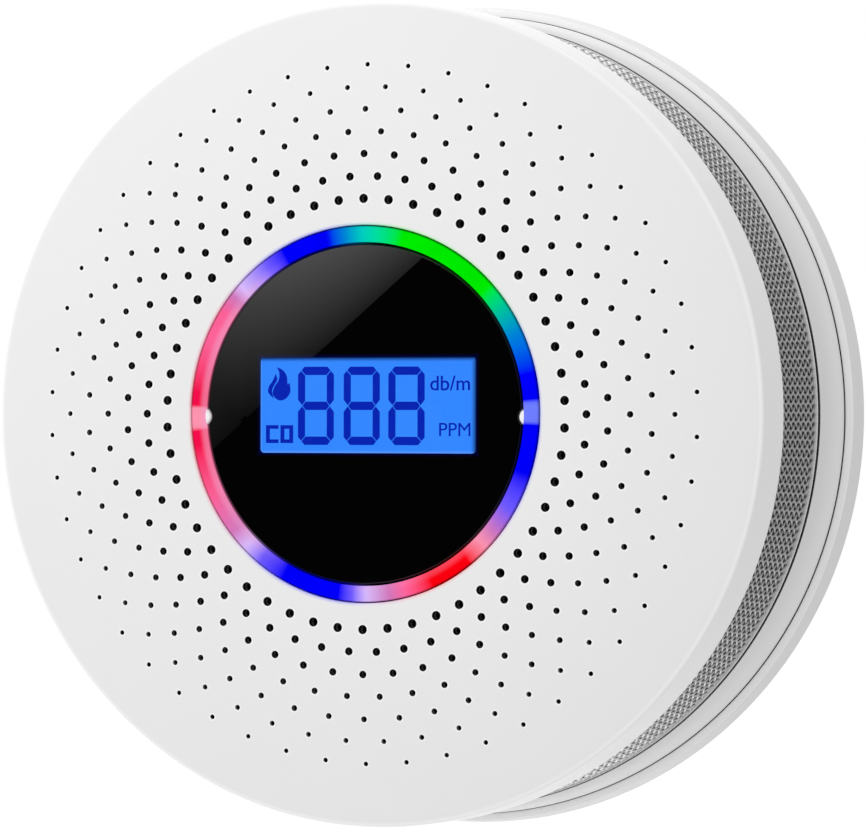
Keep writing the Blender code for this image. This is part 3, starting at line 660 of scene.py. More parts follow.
def housing_plastic():
    """White shell plastic of the rear housing, with painted shade: darker towards the mesh, and darker still
    at the top and bottom.
    """
    look = Look("housing")
    _, depth, up = look.split()
    tone = look.eased(depth, (-0.0105, -0.0060))
    upright = look.eased(look.size(up), (0.030, 0.050))
    white = clouded(look, grey(0.855), grey(0.867))
    # painted shade: darker near the mesh, most at the top and bottom
    painted_shade_near_mesh = look.mixed(upright, grey(0.79), grey(0.66))
    look.set(base=look.mixed(tone, painted_shade_near_mesh, white))
    satin(look, 0.40)
    return look


def plate_plastic():
    """White plastic of the wall plate, with a painted highlight that makes its sloping lip paler than its
    side.
    """
    look = Look("white_base")
    depth = look.split()[1]
    lip = look.math("LESS_THAN", depth, -0.0037)
    side = clouded(look, grey(0.815), grey(0.83))
    # painted highlight on the sloping lip
    look.set(base=look.mixed(lip, side, grey(0.98)))
    satin(look, 0.44)
    return look


def light_guide():
    """Milky light guide, lit from below in colours that change round the ring, with a painted highlight on
    the inner edge of its left side and painted shade down its sides.
    """
    look = Look("light_guide", roughness=0.4, specular=0.0)
    x, depth, up = look.split()
    colour, radius = ring_light(look, x, up)
    redness = look.split(colour)[0]
    # painted highlight: the inner edge turns pale on the left side, most in the reds
    leftness = look.times(look.eased(x, (0.005, -0.010), (0.15, 0.45)), redness)
    inner = look.eased(radius, (0.0224, 0.0215))
    painted_inner_highlight = look.mixed(look.times(leftness, inner), colour, linear(238, 165, 205))
    edge = look.eased(radius, (0.0231, 0.02325), (1.0, 0.55))
    # painted shade: the glow fades down the sides into the gaps beside the ring
    deep = look.eased(depth, (-0.0380, -0.0374), (1.0, 0.12))
    hidden = look.math("LESS_THAN", depth, -0.034)
    cloud = look.ranged(look.noise(260.0), NOISE_SPAN, (0.95, 1.03))
    glow = look.times(look.times(edge, cloud), look.times(deep, hidden))
    look.set(base=grey(0.0), glow_colour=painted_inner_highlight, glow=glow)
    return look


def key_plastic():
    """Frosted clear plastic of the two keys, with a faint painted glow."""
    look = Look("light_key", roughness=0.3)
    tone = look.noise(900.0)
    # painted glow
    look.set(base=look.mixed(tone, grey(0.78), grey(0.88)), glow_colour=linear(255, 236, 246),
             glow=look.ranged(tone, (0.0, 1.0), (0.05, 0.15)))
    return look


def black_gloss(name):
    """Polished black plastic."""
    look = Look(name, roughness=0.004, refraction=1.49)
    look.set(base=look.mixed(look.noise(200.0), grey(0.0004), grey(0.0012)))
    return look


def past_rectangle(look, x, up, size):
    """Metres outside a rectangle round the display's middle, less than 0 inside it."""
    past_side = look.minus(look.size(x), size[0] / 2 * MM)
    past_top = look.minus(look.size(look.minus(up, DISPLAY_UP * MM)), size[1] / 2 * MM)
    return look.math("MAXIMUM", past_side, past_top)


def black_lens():
    """Polished acrylic, printed black behind, with a clear middle that shows the film and the display."""
    look = black_gloss("black_lens")
    x, depth, up = look.split()
    outside = look.math("GREATER_THAN", past_rectangle(look, x, up, CLEAR_SIZE), 0.0)
    near_face = look.math("LESS_THAN", depth, -(LENS_BACK + 0.15) * MM)
    from_front = look.minus(1.0, look.new("ShaderNodeNewGeometry").outputs["Backfacing"])
    printed = look.times(look.times(outside, near_face), from_front)
    mix = look.new("ShaderNodeMixShader")
    look.feed(mix.inputs[0], printed)
    look.feed(mix.inputs[1], look.new("ShaderNodeBsdfTransparent").outputs[0])
    look.feed(mix.inputs[2], look.tree.nodes["Principled BSDF"].outputs[0])
    look.feed(look.tree.nodes["Material Output"].inputs["Surface"], mix.outputs[0])
    return look


def black_film():
    """The glossy black film round the display window, with painted blue light from the display just round
    the window's edge.
    """
    look = black_gloss("black_film")
    x, _, up = look.split()
    # painted light: the display's glow spilled onto the film round the window
    painted_display_spill = look.eased(past_rectangle(look, x, up, WINDOW_SIZE), (0.0, 0.0005), (0.03, 0.0))
    look.set(glow_colour=linear(0, 40, 255), glow=painted_display_spill)
    return look


def display_light():
    """The lit azure display, with painted light along its left and lower sides and painted shade along its
    right and upper sides.
    """
    look = Look("display_glass", roughness=0.2, specular=0.1, glow=1.0)
    x, _, up = look.split()
    left = look.eased(x, (-0.01478, -0.0146), (1.0, 0.0))
    low = look.eased(up, (-0.0047, -0.0045), (1.0, 0.0))
    right = look.eased(x, (0.0134, 0.01435))
    top = look.eased(up, (0.0064, 0.00715))
    # painted light along the left and lower sides, painted shade along the right and upper sides
    painted_edge_light = look.math("MAXIMUM", left, low)
    painted_edge_shade = look.math("MAXIMUM", right, top)
    glow = look.mixed(look.noise(120.0), linear(44, 132, 255), linear(56, 138, 255))
    glow = look.mixed(look.times(painted_edge_light, 0.35), glow, linear(120, 165, 245))
    glow = look.mixed(painted_edge_shade, glow, linear(0, 12, 70))
    look.set(base=grey(0.0), glow_colour=glow)
    return look


def display_segment():
    """A switched-on display segment."""
    look = Look("display_segment", roughness=0.3, specular=0.1, glow=1.0)
    glow = look.mixed(look.noise(500.0), linear(0, 30, 170), linear(2, 36, 182))
    look.set(base=grey(0.0), glow_colour=glow)
    return look


def lit_diffuser():
    look = Look("backlight", glow=0.4)
    glow = look.mixed(look.noise(90.0), linear(40, 120, 255), linear(70, 150, 255))
    look.set(base=glow, glow_colour=glow)
    return look


def make_looks():
    looks = [
        moulded_plastic("white_shell", (0.86, 0.86, 0.865, 1.0), 0.4, change=0.008),
        # painted highlight: the holes' lips are paler than the shell round them
        moulded_plastic("hole_lip", (0.95, 0.95, 0.955, 1.0), 0.4, change=0.01),
        # near black; it also paints the shade in the case's seams
        moulded_plastic("black_void", (0.003, 0.003, 0.003, 1.0), 0.6, specular=0.1),
        moulded_plastic("black_plastic", (0.015, 0.015, 0.016, 1.0), 0.45, change=0.2),
        moulded_plastic("grey_rubber", (0.12, 0.12, 0.13, 1.0), 0.75, 3 * FINE_GRAIN, 0.3, 0.15),
        moulded_plastic("red_insulation", (0.5, 0.015, 0.015, 1.0), 0.45, change=0.1),
        moulded_plastic("lamp_white", (0.85, 0.83, 0.75, 1.0), 0.25, change=0.05),
        metal("steel", (0.6, 0.6, 0.62, 1.0), 0.3, (1.0, 1.0, 0.15)),
        metal("brass", (0.75, 0.56, 0.22, 1.0), 0.3, (1.0, 0.2, 1.0)),
        wire_metal("wire_mesh", 0.36, 0.97, 0.5),
        # on the liner behind the weave: near black, with a painted sheen that makes it paler where it is
        # seen at a grazing angle
        wire_metal("mesh_back", 0.008, 0.6, 0.0),
        plate_plastic(), cover_plastic(), housing_plastic(), hole_wall(), light_guide(), key_plastic(),
        black_lens(), black_film(), display_light(), display_segment(), lit_diffuser(), solder_mask(),
        cell_wrap(),
    ]
    return {look.name: look.material for look in looks}


# ---- front cover

def face_height(radius):
    share = np.maximum(0.0, radius - DOME_START) / DOME_RUN
    return COVER_FACE - DOME_DROP * share ** 2


def band_radius(band):
    """Radius of the line between two rings of holes."""
    return DOME_START + HOLE_RING_STEP * (band - 0.5)


class CoverMesh:
    """Points and faces of the perforated cover; slot 1 is the holes' walls, slot 2 their lips."""

    def __init__(self):
        self.points, self.faces, self.face_slots = [], [], []

    def add(self, radius, angle, height):
        start = len(self.points)
        self.points.extend(spot(radius, angle, height).reshape(-1, 3))
        return list(range(start, len(self.points)))

    def bridge(self, outer, inner, face_slot=0, flip=False):
        """Quads between two loops that both run counter-clockwise, the outer one first."""
        count = len(outer)
        for index in range(count):
            after = (index + 1) % count
            face = [outer[index], outer[after], inner[after], inner[index]]
            self.faces.append(face[::-1] if flip else face)
            self.face_slots.append(face_slot)


def cell_loops(rings, sides, ring, cell):
    """The points round one hole's cell, starting at its inner clockwise corner."""
    parity = ring % 2
    first = HOLES_PER_RING + STEPS_PER_CELL // 2 * (parity - 1) + STEPS_PER_CELL * cell
    columns = [(first + step) % FACE_STEPS for step in range(STEPS_PER_CELL + 1)]
    inner = [rings[ring][column] for column in columns]
    outer = [rings[ring + 1][column] for column in columns]
    near = sides[ring][cell]
    far = sides[ring][(cell + 1) % HOLES_PER_RING]
    return [inner[0], *near, *outer, *reversed(far), *reversed(inner[1:])]


def add_grid(cover, lowering):
    """Loops between the rings of holes, and the points on the radial sides of the cells."""
    rings = []
    for band in range(HOLE_RINGS + 1):
        radius = band_radius(band)
        rings.append(cover.add(radius, FACE_ANGLES, face_height(radius) - lowering))
    sides = []
    for ring in range(HOLE_RINGS):
        quarter = HOLE_RING_STEP / STEPS_PER_CELL
        radii = band_radius(ring) + quarter * np.arange(1, STEPS_PER_CELL)
        first = 90.0 - 180.0 / HOLES_PER_RING * (1 - ring % 2)
        sides.append([cover.add(radii, first + 360.0 / HOLES_PER_RING * cell, face_height(radii) - lowering)
                      for cell in range(HOLES_PER_RING)])
    return rings, sides


def add_circle(cover, ring, cell, radius, depth):
    """A loop round a hole, at a depth under the domed face, that matches its cell's points."""
    first = 90.0 + 180.0 / HOLES_PER_RING * (ring % 2)
    hole = math.radians(first + 360.0 / HOLES_PER_RING * cell)
    distance = DOME_START + HOLE_RING_STEP * ring
    turns = hole + np.radians(-135.0 + 360.0 / CIRCLE_STEPS * np.arange(CIRCLE_STEPS))
    x = distance * math.cos(hole) + radius * np.cos(turns)
    up = distance * math.sin(hole) + radius * np.sin(turns)
    reach = np.hypot(x, up)
    return cover.add(reach, np.degrees(np.arctan2(up, x)), face_height(reach) - depth)


def add_holes(cover, front, back):
    for ring, diameter in enumerate(HOLE_DIAMETERS):
        radius = diameter / 2
        for cell in range(HOLES_PER_RING):
            loops = [cell_loops(*front, ring, cell)]
            loops += [add_circle(cover, ring, cell, radius + more, depth)
                      for more, depth in ((0.22, 0.0), (0.03, 0.02), (0.0, 0.08), (0.0, COVER_WALL))]
            for step, face_slot in enumerate((0, 2, 2, 1)):
                cover.bridge(loops[step], loops[step + 1], face_slot)
            cover.bridge(cell_loops(*back, ring, cell), loops[-1], 0, True)


def add_turned_strip(cover, start, corners, end):
    """Joins two face loops with a turned outline that runs from the first to the second."""
    loops = [start] + [cover.add(radius, FACE_ANGLES, height) for radius, height in corners] + [end]
    for here, after in zip(loops, loops[1:]):
        cover.bridge(after, here)


def make_front_cover(looks):
    cover = CoverMesh()
    front = add_grid(cover, 0.0)
    back = add_grid(cover, COVER_WALL)
    add_holes(cover, front, back)
    dome = [(radius, face_height(radius)) for radius in np.linspace(45.5, COVER_RIM, 6)]
    rim = softened([(COVER_RIM, face_height(COVER_RIM)), (51.3, 35.4, 0.42), (51.45, 28.1, 0.18),
                    (50.2, 28.1, 0.1), (49.6, 33.5)], closed=False, steps=6)
    inside = [(radius, face_height(radius) - COVER_WALL) for radius in np.linspace(49.0, 45.5, 4)]
    add_turned_strip(cover, front[0][-1], dome + rim[1:] + inside, back[0][-1])
    opening = softened([(24.95, 36.07, 0.1), (24.95, 30.3, 0.1), (23.4, 30.3, 0.1), (23.4, COVER_FACE, 0.3),
                        (24.6, COVER_FACE)], closed=False, steps=6)
    add_turned_strip(cover, back[0][0], opening, front[0][0])
    materials = [looks["cover"], looks["hole_wall"], looks["hole_lip"]]
    piece = new_piece("front_cover_shell", cover.points, cover.faces, materials, cover.face_slots, 50.0)
    dress(weigh_normals(piece), "white_shell", "front_cover")
    clip_angles = [30.0 + 60.0 * index for index in range(6)]
    clips = blocks("front_cover_clips", clip_angles, (48.9, 50.6), (30.3, 30.88), 6.0, 0.1)
    clips.data.materials.append(looks["white_shell"])
    dress(clips, "white_shell")


# ---- mesh band, cage and rear housing

def weave_family(direction):
    """Points of every wire of one direction, as (wire, sample, side, xyz)."""
    slope = MESH_FRONT - MESH_REAR
    length = np.linalg.norm(slope)
    samples = int(length / WEAVE_PITCH) + 1
    along = np.arange(samples) * WEAVE_PITCH + (length - (samples - 1) * WEAVE_PITCH) / 2
    lift = direction * WIRE_LIFT * np.cos(math.pi * np.arange(samples)) - WIRE_DEPTH
    outward = np.array((slope[1], -slope[0])) / length
    radius = MESH_REAR[0] + slope[0] * along / length + outward[0] * lift
    height = MESH_REAR[1] + slope[1] * along / length + outward[1] * lift
    spacing = 360.0 / WEAVE_WIRES
    starts = np.arange(WEAVE_WIRES)[:, None] * spacing
    angle = starts + direction * spacing * along[None, :] / (2 * WEAVE_PITCH)
    centre = spot(radius[None, :], angle, height[None, :] * np.ones_like(angle))
    normal = spot(outward[0], angle, outward[1] * np.ones_like(angle))
    tangent = np.gradient(centre, axis=1)
    tangent /= np.linalg.norm(tangent, axis=2, keepdims=True)
    across = np.cross(tangent, normal)
    across /= np.linalg.norm(across, axis=2, keepdims=True)
    sides = [centre + WIRE_RADIUS * (normal * math.cos(turn) + across * math.sin(turn))
             for turn in np.arange(WIRE_SIDES) * FULL_TURN / WIRE_SIDES]
    return np.stack(sides, axis=2)


def make_mesh_band(looks):
    wires = np.concatenate([weave_family(1), weave_family(-1)])
    count, samples, sides = wires.shape[:3]
    index = np.arange(count * samples * sides).reshape(count, samples, sides)
    after = np.roll(index, -1, axis=2)
    quads = np.stack((index[:, :-1], index[:, 1:], after[:, 1:], after[:, :-1]), axis=-1).reshape(-1, 4)
    ends = np.concatenate((index[:, 0, ::-1], index[:, -1]))
    faces = quads.tolist() + ends.tolist()
    weave = new_piece("mesh_weave", wires.reshape(-1, 3), faces, [looks["wire_mesh"]], sharp=120.0)
    dress(weave, "wire_mesh", "mesh_screen")
    rear, front = MESH_REAR - (LINER_DEPTH, 0.0), MESH_FRONT - (LINER_DEPTH, 0.0)
    wall = (LINER_WALL, 0.0)
    liner = turned("mesh_liner", [front, rear, rear - wall, front - wall], [looks["mesh_back"]])
    dress(liner, "black_plastic")


def make_vent_cage(looks):
    flange = [(49.3, 32.4, 0.15), (49.3, 31.25, 0.15), (44.8, 31.25, 0.1), (44.8, 11.8, 0.1)]
    rim = [(50.5, 11.8, 0.06), (50.5, 11.6, 0.04), (43.2, 11.6, 0.1), (43.2, 32.4, 0.1)]
    cage = turned("vent_cage_frame", flange + rim, [looks["white_shell"]])
    window_angles = [15.0 + 30.0 * index for index in range(12)]
    shaped(cage, removed=[blocks("windows", window_angles, (42.0, 46.0), (14.0, 29.8), 17.0)])
    dress(weigh_normals(cage), "white_shell", "vent_cage")


def make_seam_shades(looks):
    """Painted shade: thin near-black rings set in the two seams of the case, standing in for the shadow in
    the gaps.
    """
    seams = (("cage_seam_shade", 44.0, 50.56, 10.92, 11.58), ("plate_seam_shade", 50.9, 51.68, 4.06, 4.32))
    for name, inner, outer, low, high in seams:
        outline = [(outer, high, 0.02), (outer, low, 0.02), (inner, low), (inner, high)]
        dress(turned(name, outline, [looks["black_void"]]), "black_plastic")


def make_rear_housing(looks):
    flare = [(50.62, 10.9, 0.1), (50.85, 9.2, 0.4), (51.0, 7.6, 0.4), (51.2, 6.2, 0.3), (51.6, 5.2, 0.2),
             (51.6, 4.3, 0.04), (50.7, 4.3, 0.1), (50.7, 5.6)]
    shell = [(0.0, 7.6), (49.0, 7.6, 0.3), (49.0, 10.9, 0.15), *flare, (0.0, 5.6)]
    housing = turned("rear_housing_shell", shell, [looks["housing"]], closed=False)
    bay = [((0.0, BAY_UP), 0.0)]
    walls, recess = ([side + 2 * more for side in BAY_SIZE] for more in (BAY_WALL, DOOR_LEDGE))
    screws = [polar(angle, 39.0) for angle in SCREW_ANGLES]
    joined = [
        slots("bay_walls", bay, walls, 3.0, (7.0, 24.0)),
        blocks("lug_stems", LUG_ANGLES, (44.6, 46.6), (2.3, 6.1), 8.0),
        blocks("lug_feet", LUG_ANGLES, (46.3, 49.4), (2.3, 3.2), 8.0, 0.15),
        pins("screw_bosses", screws, 3.2, (7.1, 11.1)),
    ]
    removed = [
        slots("bay_hollow", bay, BAY_SIZE, 1.6, (HOUSING_BACK, 22.6)),
        slots("door_recess", bay, recess, 2.0, (HOUSING_BACK, 7.2)),
        slots("finger_notch", [((0.0, BAY_UP + 18.6), 0.0)], (16.0, 7.0), 3.0, (HOUSING_BACK, 6.7)),
        pins("screw_holes", screws, 1.6, (HOUSING_BACK, 12.6)),
        pins("head_recesses", screws, 2.9, (HOUSING_BACK, 6.7)),
    ]
    shaped(housing, joined, removed)
    dress(weigh_normals(housing), "white_shell", "rear_housing")


# ---- wall plate

def make_wall_plate(looks):
    lip = [(50.7, 2.0, 0.2), (50.7, 4.04, 0.12), (51.7, 4.04, 0.08), (52.62, 3.75, 0.15), (53.0, 0.4, 0.15),
           (52.6, 0.0, 0.12)]
    back = []
    for outer, inner in ((45.8, 38.0), (36.6, 24.2), (22.6, 8.2)):
        back += [(outer, 0.0, 0.1), (outer - 0.2, 0.8, 0.1), (inner, 0.8, 0.1), (inner - 0.2, 0.0, 0.1)]
    plate = turned("wall_plate", [(0.0, 2.0), *lip, *back, (0.0, 0.0)], [looks["white_base"]], closed=False)
    joined = [
        blocks("hooks", LUG_ANGLES, (47.3, 51.3), (3.5, 4.0), 9.0),
        blocks("stops", [angle - STOP_OFFSET for angle in LUG_ANGLES], (47.5, 51.3), (1.0, 3.9), 3.0),
    ]
    screw_places = [(polar(angle, SLOT_DISTANCE), angle) for angle in (0.0, 90.0, 180.0, 270.0)]
    pin_marks = [polar(45.0 + 90.0 * index, 42.0) for index in range(4)]
    arrow = placed(np.array(((1.9, 0.0), (-1.1, 1.6), (-1.1, -1.6))), (0.0, 15.0), 90.0)
    removed = [
        slots("screw_slots", screw_places, SLOT_SIZE, 2.15, (-0.2, 3.0), 0.35),
        blocks("hook_windows", LUG_ANGLES, (47.2, 50.4), (-1.0, 3.0), 9.4),
        pins("pin_marks", pin_marks, 2.4, (-0.5, 0.92)),
        plates("up_arrow", [arrow], [(1.1, 0.0), (-0.5, 0.0)], []),
    ]
    shaped(plate, joined, removed)
    dress(weigh_normals(plate), "white_base", "mounting_plate", body="mount")


# ---- light ring, lens and display

def make_light_ring(looks):
    outline = [(RING_OUTER, RING_TOP, 0.14), (RING_OUTER, 29.9), (25.2, 29.9, 0.1), (25.2, 28.4, 0.1),
               (RING_INNER, 28.4, 0.1), (RING_INNER, RING_TOP, 0.12)]
    ring = turned("light_ring_guide", outline, [looks["light_guide"]])
    dress(weigh_normals(ring), "light_guide", "light_ring")
    layers = [(38.1, 0.55), (38.06, 0.3), (37.94, 0.12), (37.75, 0.03), (37.5, 0.0), (33.0, 0.0)]
    outlines = [placed(circle(KEY_RADIUS), polar(angle, KEY_DISTANCE)) for angle in KEY_ANGLES]
    keys = plates("light_ring_keys", outlines, layers, [looks["light_key"]], 60.0)
    inner = RING_INNER + KEY_GAP
    cut = turned("ring_space", [(30.0, 40.0), (30.0, 30.0), (inner, 30.0), (inner, 40.0)], [])
    shaped(keys, removed=[cut], sharp=60.0)
    dress(keys, "light_guide")


def key_space(name, heights):
    """Cutters that leave room for the two keys."""
    return pins(name, [polar(angle, KEY_DISTANCE) for angle in KEY_ANGLES], KEY_RADIUS + KEY_GAP, heights)


def make_lens(looks):
    outline = [(0.0, LENS_FRONT), (LENS_RADIUS, LENS_FRONT, 0.15), (LENS_RADIUS, LENS_BACK, 0.1),
               (0.0, LENS_BACK)]
    lens = turned("lens_window", outline, [looks["black_lens"]], closed=False)
    shaped(lens, removed=[key_space("lens_notches", (36.0, 39.0))])
    dress(weigh_normals(lens), "black_lens", "button_lens", body="button")
    outline = [(0.0, MASK_FRONT), (MASK_RADIUS, MASK_FRONT), (MASK_RADIUS, MASK_BACK), (0.0, MASK_BACK)]
    mask = turned("lens_mask", outline, [looks["black_film"]], closed=False)
    window = slots("mask_window", [((0.0, DISPLAY_UP), 0.0)], WINDOW_SIZE, 0.5, (35.0, 38.0))
    shaped(mask, removed=[window, key_space("mask_notches", (35.0, 38.0))])
    dress(mask, "black_plastic", "window_mask", body="button")


def digit_segments(left, right, low, high):
    """Outlines of the seven bars of one digit, with thin light gaps between them."""
    upright, level = 1.05, 1.14
    middle = (low + high) / 2
    left_in, right_in = left + upright, right - upright
    over, under = middle + level / 2, middle - level / 2
    upper_left = [(left, high - 1.0), (left, middle + 0.72), (left + 0.6, middle), (left_in, over),
                  (left_in, high - level), (left + 0.45, high - 0.5)]
    upper_right = [(left + right - x, up) for x, up in reversed(upper_left)]
    top = [(left + 0.45, high - 0.5), (left_in, high - level), (right_in, high - level),
           (right - 0.45, high - 0.5), (right - 0.9, high), (left + 0.9, high)]
    centre = [(left + 0.6, middle), (left_in, under), (right_in, under), (right - 0.6, middle),
              (right_in, over), (left_in, over)]
    lower = [[(x, low + high - up) for x, up in reversed(bar)] for bar in (upper_left, upper_right, top)]
    bars = [upper_left, upper_right, *lower[:2], top, lower[2], centre]
    return [inset(bar, 0.05) for bar in bars]


def frame_letter(left, right, low, high, opened):
    """A square letter C (opened) or O, as the (left, right, low, high) sides of its bars."""
    upright, level = 0.52, 0.46
    bars = [
        (left, left + upright, low, high),
        (left + upright, right, low, low + level),
        (left + upright, right, high - level, high),
    ]
    if not opened:
        bars.append((right - upright, right, low + level, high - level))
    return [[(start, base), (end, base), (end, top), (start, top)] for start, end, base, top in bars]


def smooth_outline(anchors):
    """A closed curve through the anchors; a third value of 1 keeps that anchor a sharp tip."""
    count = len(anchors)
    spots = np.array([anchor[:2] for anchor in anchors], float)
    tips = [len(anchor) > 2 for anchor in anchors]
    slopes = (np.roll(spots, -1, axis=0) - np.roll(spots, 1, axis=0)) / 2
    points = []
    for index in range(count):
        after = (index + 1) % count
        chord = spots[after] - spots[index]
        start = chord if tips[index] else slopes[index]
        end = chord if tips[after] else slopes[after]
        for share in np.arange(CURVE_STEPS) / CURVE_STEPS:
            s2, s3 = share ** 2, share ** 3
            points.append(spots[index] * (2 * s3 - 3 * s2 + 1) + start * (s3 - 2 * s2 + share)
                          + spots[after] * (3 * s2 - 2 * s3) + end * (s3 - s2))
    return np.array(points)


def flame_outlines():
    """A tall flame with a small second tongue on its left, drawn counter-clockwise."""
    tall = [(-12.32, 4.75, 1), (-12.0, 4.0), (-12.1, 3.1), (-12.6, 2.4), (-12.9, 1.5), (-12.5, 0.86),
            (-11.8, 0.58), (-11.0, 0.9), (-10.5, 1.7), (-10.6, 2.82, 1), (-10.88, 2.62), (-10.98, 3.6),
            (-11.5, 4.35)]
    small = [(-12.5, 3.9, 1), (-12.9, 3.05), (-13.4, 2.35), (-13.5, 1.6), (-12.75, 0.8, 1), (-13.0, 1.75),
             (-12.7, 2.5), (-12.28, 3.2)]
    return [smooth_outline(tall), smooth_outline(small)]


def words(name, text, left, right, low, tall, weight, materials):
    """Lettering as thin plates, fitted between two sides; tall is the height of its tallest letter."""
    curve = bpy.data.curves.new(name + "_text", "FONT")
    curve.body = text
    curve.offset = weight
    source = new_object(name + "_text", curve)
    graph = bpy.context.evaluated_depsgraph_get()
    mesh = bpy.data.meshes.new_from_object(source.evaluated_get(graph))
    bpy.data.objects.remove(source)
    flat = np.array([vertex.co[:2] for vertex in mesh.vertices])
    first = flat[:, 0].min()
    size = np.array((flat[:, 0].max() - first, flat[:, 1].max()))
    scale = np.array((right - left, tall)) / size
    flat = (flat - (first, 0.0)) * scale + (left, low)
    count = len(flat)
    points = [(x, -height, up) for height in (SIGN_TOP, DISPLAY_TOP) for x, up in flat]
    fronts = [list(polygon.vertices) for polygon in mesh.polygons]
    edges = dict.fromkeys(edge for face in fronts for edge in zip(face, face[1:] + face[:1]))
    walls = [[end, start, start + count, end + count] for start, end in edges if (end, start) not in edges]
    backs = [[index + count for index in reversed(face)] for face in fronts]
    return new_piece(name, points, fronts + walls + backs, materials)


def make_display(looks):
    outline = placed(rounded_rectangle((30.4, 13.6), 0.4), (0.0, DISPLAY_UP))
    glass = plates("display_panel", [outline], [(DISPLAY_TOP, 0.08), (DISPLAY_TOP - 0.08, 0.0), (33.6, 0.0)],
                   [looks["display_glass"]])
    dress(glass, "display_glass", "lcd_glass")
    signs = {f"display_digit_{index + 1}": digit_segments(left, left + DIGIT_WIDTH, *DIGIT_SPAN)
             for index, left in enumerate((-9.49, -3.3, 2.71))}
    signs["display_gas_sign"] = [*frame_letter(-13.8, -12.1, SIGN_BASE, -2.5, True),
                                 *frame_letter(-11.82, -10.1, SIGN_BASE, -2.5, False)]
    signs["display_flame_sign"] = flame_outlines()
    for name, outlines in signs.items():
        moved = [placed(outline, (SIGN_SHIFT, DISPLAY_UP)) for outline in outlines]
        sign = plates(name, moved, [(SIGN_TOP, 0.0), (DISPLAY_TOP, 0.0)], [looks["display_segment"]])
        dress(sign, "display_glass")
    lettering = (("display_smoke_unit", "db/m", 8.35, 13.64, 1.86, 1.8, 0.007),
                 ("display_gas_unit", "PPM", 9.56, 13.7, -3.82, 1.64, 0.0))
    for name, text, left, right, low, tall, weight in lettering:
        sides = (left + SIGN_SHIFT, right + SIGN_SHIFT)
        sign = words(name, text, *sides, low + DISPLAY_UP, tall, weight, [looks["display_segment"]])
        dress(sign, "display_glass")


# ---- CAD parts that stay in view

def dress_cad_parts(looks):
    """Gives each CAD part the finish that the record names, but the frame behind the lens plain black."""
    finish = {row["node"]: row["material_slot"] for row in frame["record"]["subparts"]}
    for name, part in frame["nodes"].items():
        part.data.materials.clear()
        part.data.materials.append(looks["black_void"] if name == "button_frame" else looks[finish[name]])


# ---- stage

def make_floor():
    points = [(side_x * FLOOR_HALF, side_y * FLOOR_HALF, FLOOR_UP)
              for side_x, side_y in ((-1, -1), (1, -1), (1, 1), (-1, 1))]
    look = Look("floor", roughness=0.8, glow_colour=grey(1.0), glow=0.3)
    look.set(base=look.mixed(look.noise(3.0), grey(0.84), grey(0.87)))
    floor = new_piece("floor", points, [(0, 1, 2, 3)], [look.material])
    floor.visible_diffuse = False
    floor.visible_glossy = False


def distance_along(look, x, up, start, direction):
    """Metres from a start point along a direction in the wall's plane."""
    total = look.plus(look.times(x, direction[0]), look.times(up, direction[1]))
    return look.plus(total, -(start @ direction) * MM)


def make_reflection_card():
    """A soft light panel that only shows as the sheen on the lens."""
    edge_middle = np.array((-374.6, 38.0))
    along = np.array((0.768, 0.641))
    away = np.array((-0.641, 0.768))
    corners = [edge_middle + along * side * CARD_HALF + away * reach * CARD_HALF
               for side, reach in ((-1, 0), (1, 0), (1, 1), (-1, 1))]
    look = Look("card", base=grey(0.0), glow_colour=grey(1.0))
    x, _, up = look.split()
    rise = look.ranged(distance_along(look, x, up, edge_middle, away), (0.0, 0.03), (0.27, 2.34))
    fade = look.ranged(distance_along(look, x, up, edge_middle, along), (-0.06, 0.03), (0.2, 1.3))
    look.set(glow=look.times(rise, fade))
    points = [(x, CARD_DEPTH, up) for x, up in corners]
    card = new_piece("reflection_card", points, [(0, 1, 2, 3)], [look.material])
    card.visible_camera = False
    card.visible_diffuse = False
    card.visible_transmission = False
    card.visible_shadow = False


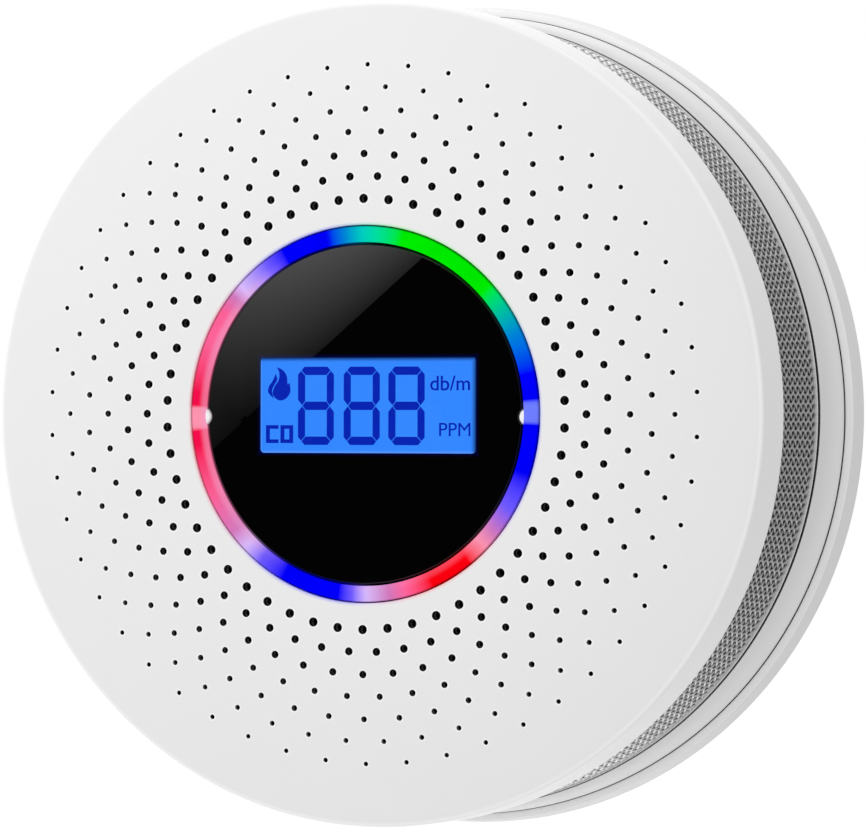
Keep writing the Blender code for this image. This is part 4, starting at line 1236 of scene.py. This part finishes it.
def make_world():
    """White backdrop for the camera, a soft light that fades to the right, and a sky for reflections."""
    world = bpy.data.worlds.new("studio")
    bpy.context.scene.world = world
    world.use_nodes = True
    nodes = Nodes(world.node_tree)
    background = world.node_tree.nodes["Background"]
    rays = nodes.new("ShaderNodeLightPath").outputs
    direction = nodes.new("ShaderNodeTexCoord").outputs["Generated"]
    across, _, up = nodes.split(direction)
    left = nodes.eased(across, (0.5, -0.2), (0.35, 1.2))
    tall = nodes.times(nodes.size(up), 0.5)
    dark = nodes.eased(nodes.dot(direction, MIRROR_DIRECTION), (0.3, 0.8), (1.0, 0.01))
    sheen = nodes.times(nodes.plus(left, tall), dark)
    sky = nodes.plus(nodes.dot(direction, SKY_SLOPE), SKY_LEVEL)
    seen = nodes.mixed(rays["Is Glossy Ray"], sky, sheen)
    nodes.feed(background.inputs["Color"], nodes.mixed(rays["Is Camera Ray"], seen, grey(1.0)))


def make_light():
    """A broad soft light in front of the detector, above and to the left."""
    data = bpy.data.lights.new("front_light", "AREA")
    data.shape = "DISK"
    data.size = 0.3
    data.energy = 0.22
    light = new_object("front_light", data)
    light.location = (-0.1, -0.3, 0.2)
    light.rotation_euler = (Vector(MIDDLE) - light.location).to_track_quat("-Z", "Y").to_euler()
    light.visible_glossy = False
    light.visible_camera = False


def make_camera():
    data = bpy.data.cameras.new("camera")
    data.lens = CAMERA_LENS
    data.sensor_width = 36.0
    camera = new_object("camera", data)
    camera.location = CAMERA_PLACE
    camera.rotation_euler = [math.radians(angle) for angle in CAMERA_ANGLES]
    bpy.context.scene.camera = camera


def make_stage():
    make_floor()
    make_reflection_card()
    make_world()
    make_light()
    make_camera()
    bpy.context.scene.view_settings.view_transform = "Standard"


def build():
    looks = make_looks()
    dress_cad_parts(looks)
    make_wall_plate(looks)
    make_rear_housing(looks)
    make_vent_cage(looks)
    make_mesh_band(looks)
    make_seam_shades(looks)
    make_front_cover(looks)
    make_light_ring(looks)
    make_lens(looks)
    make_display(looks)
    make_stage()


build()
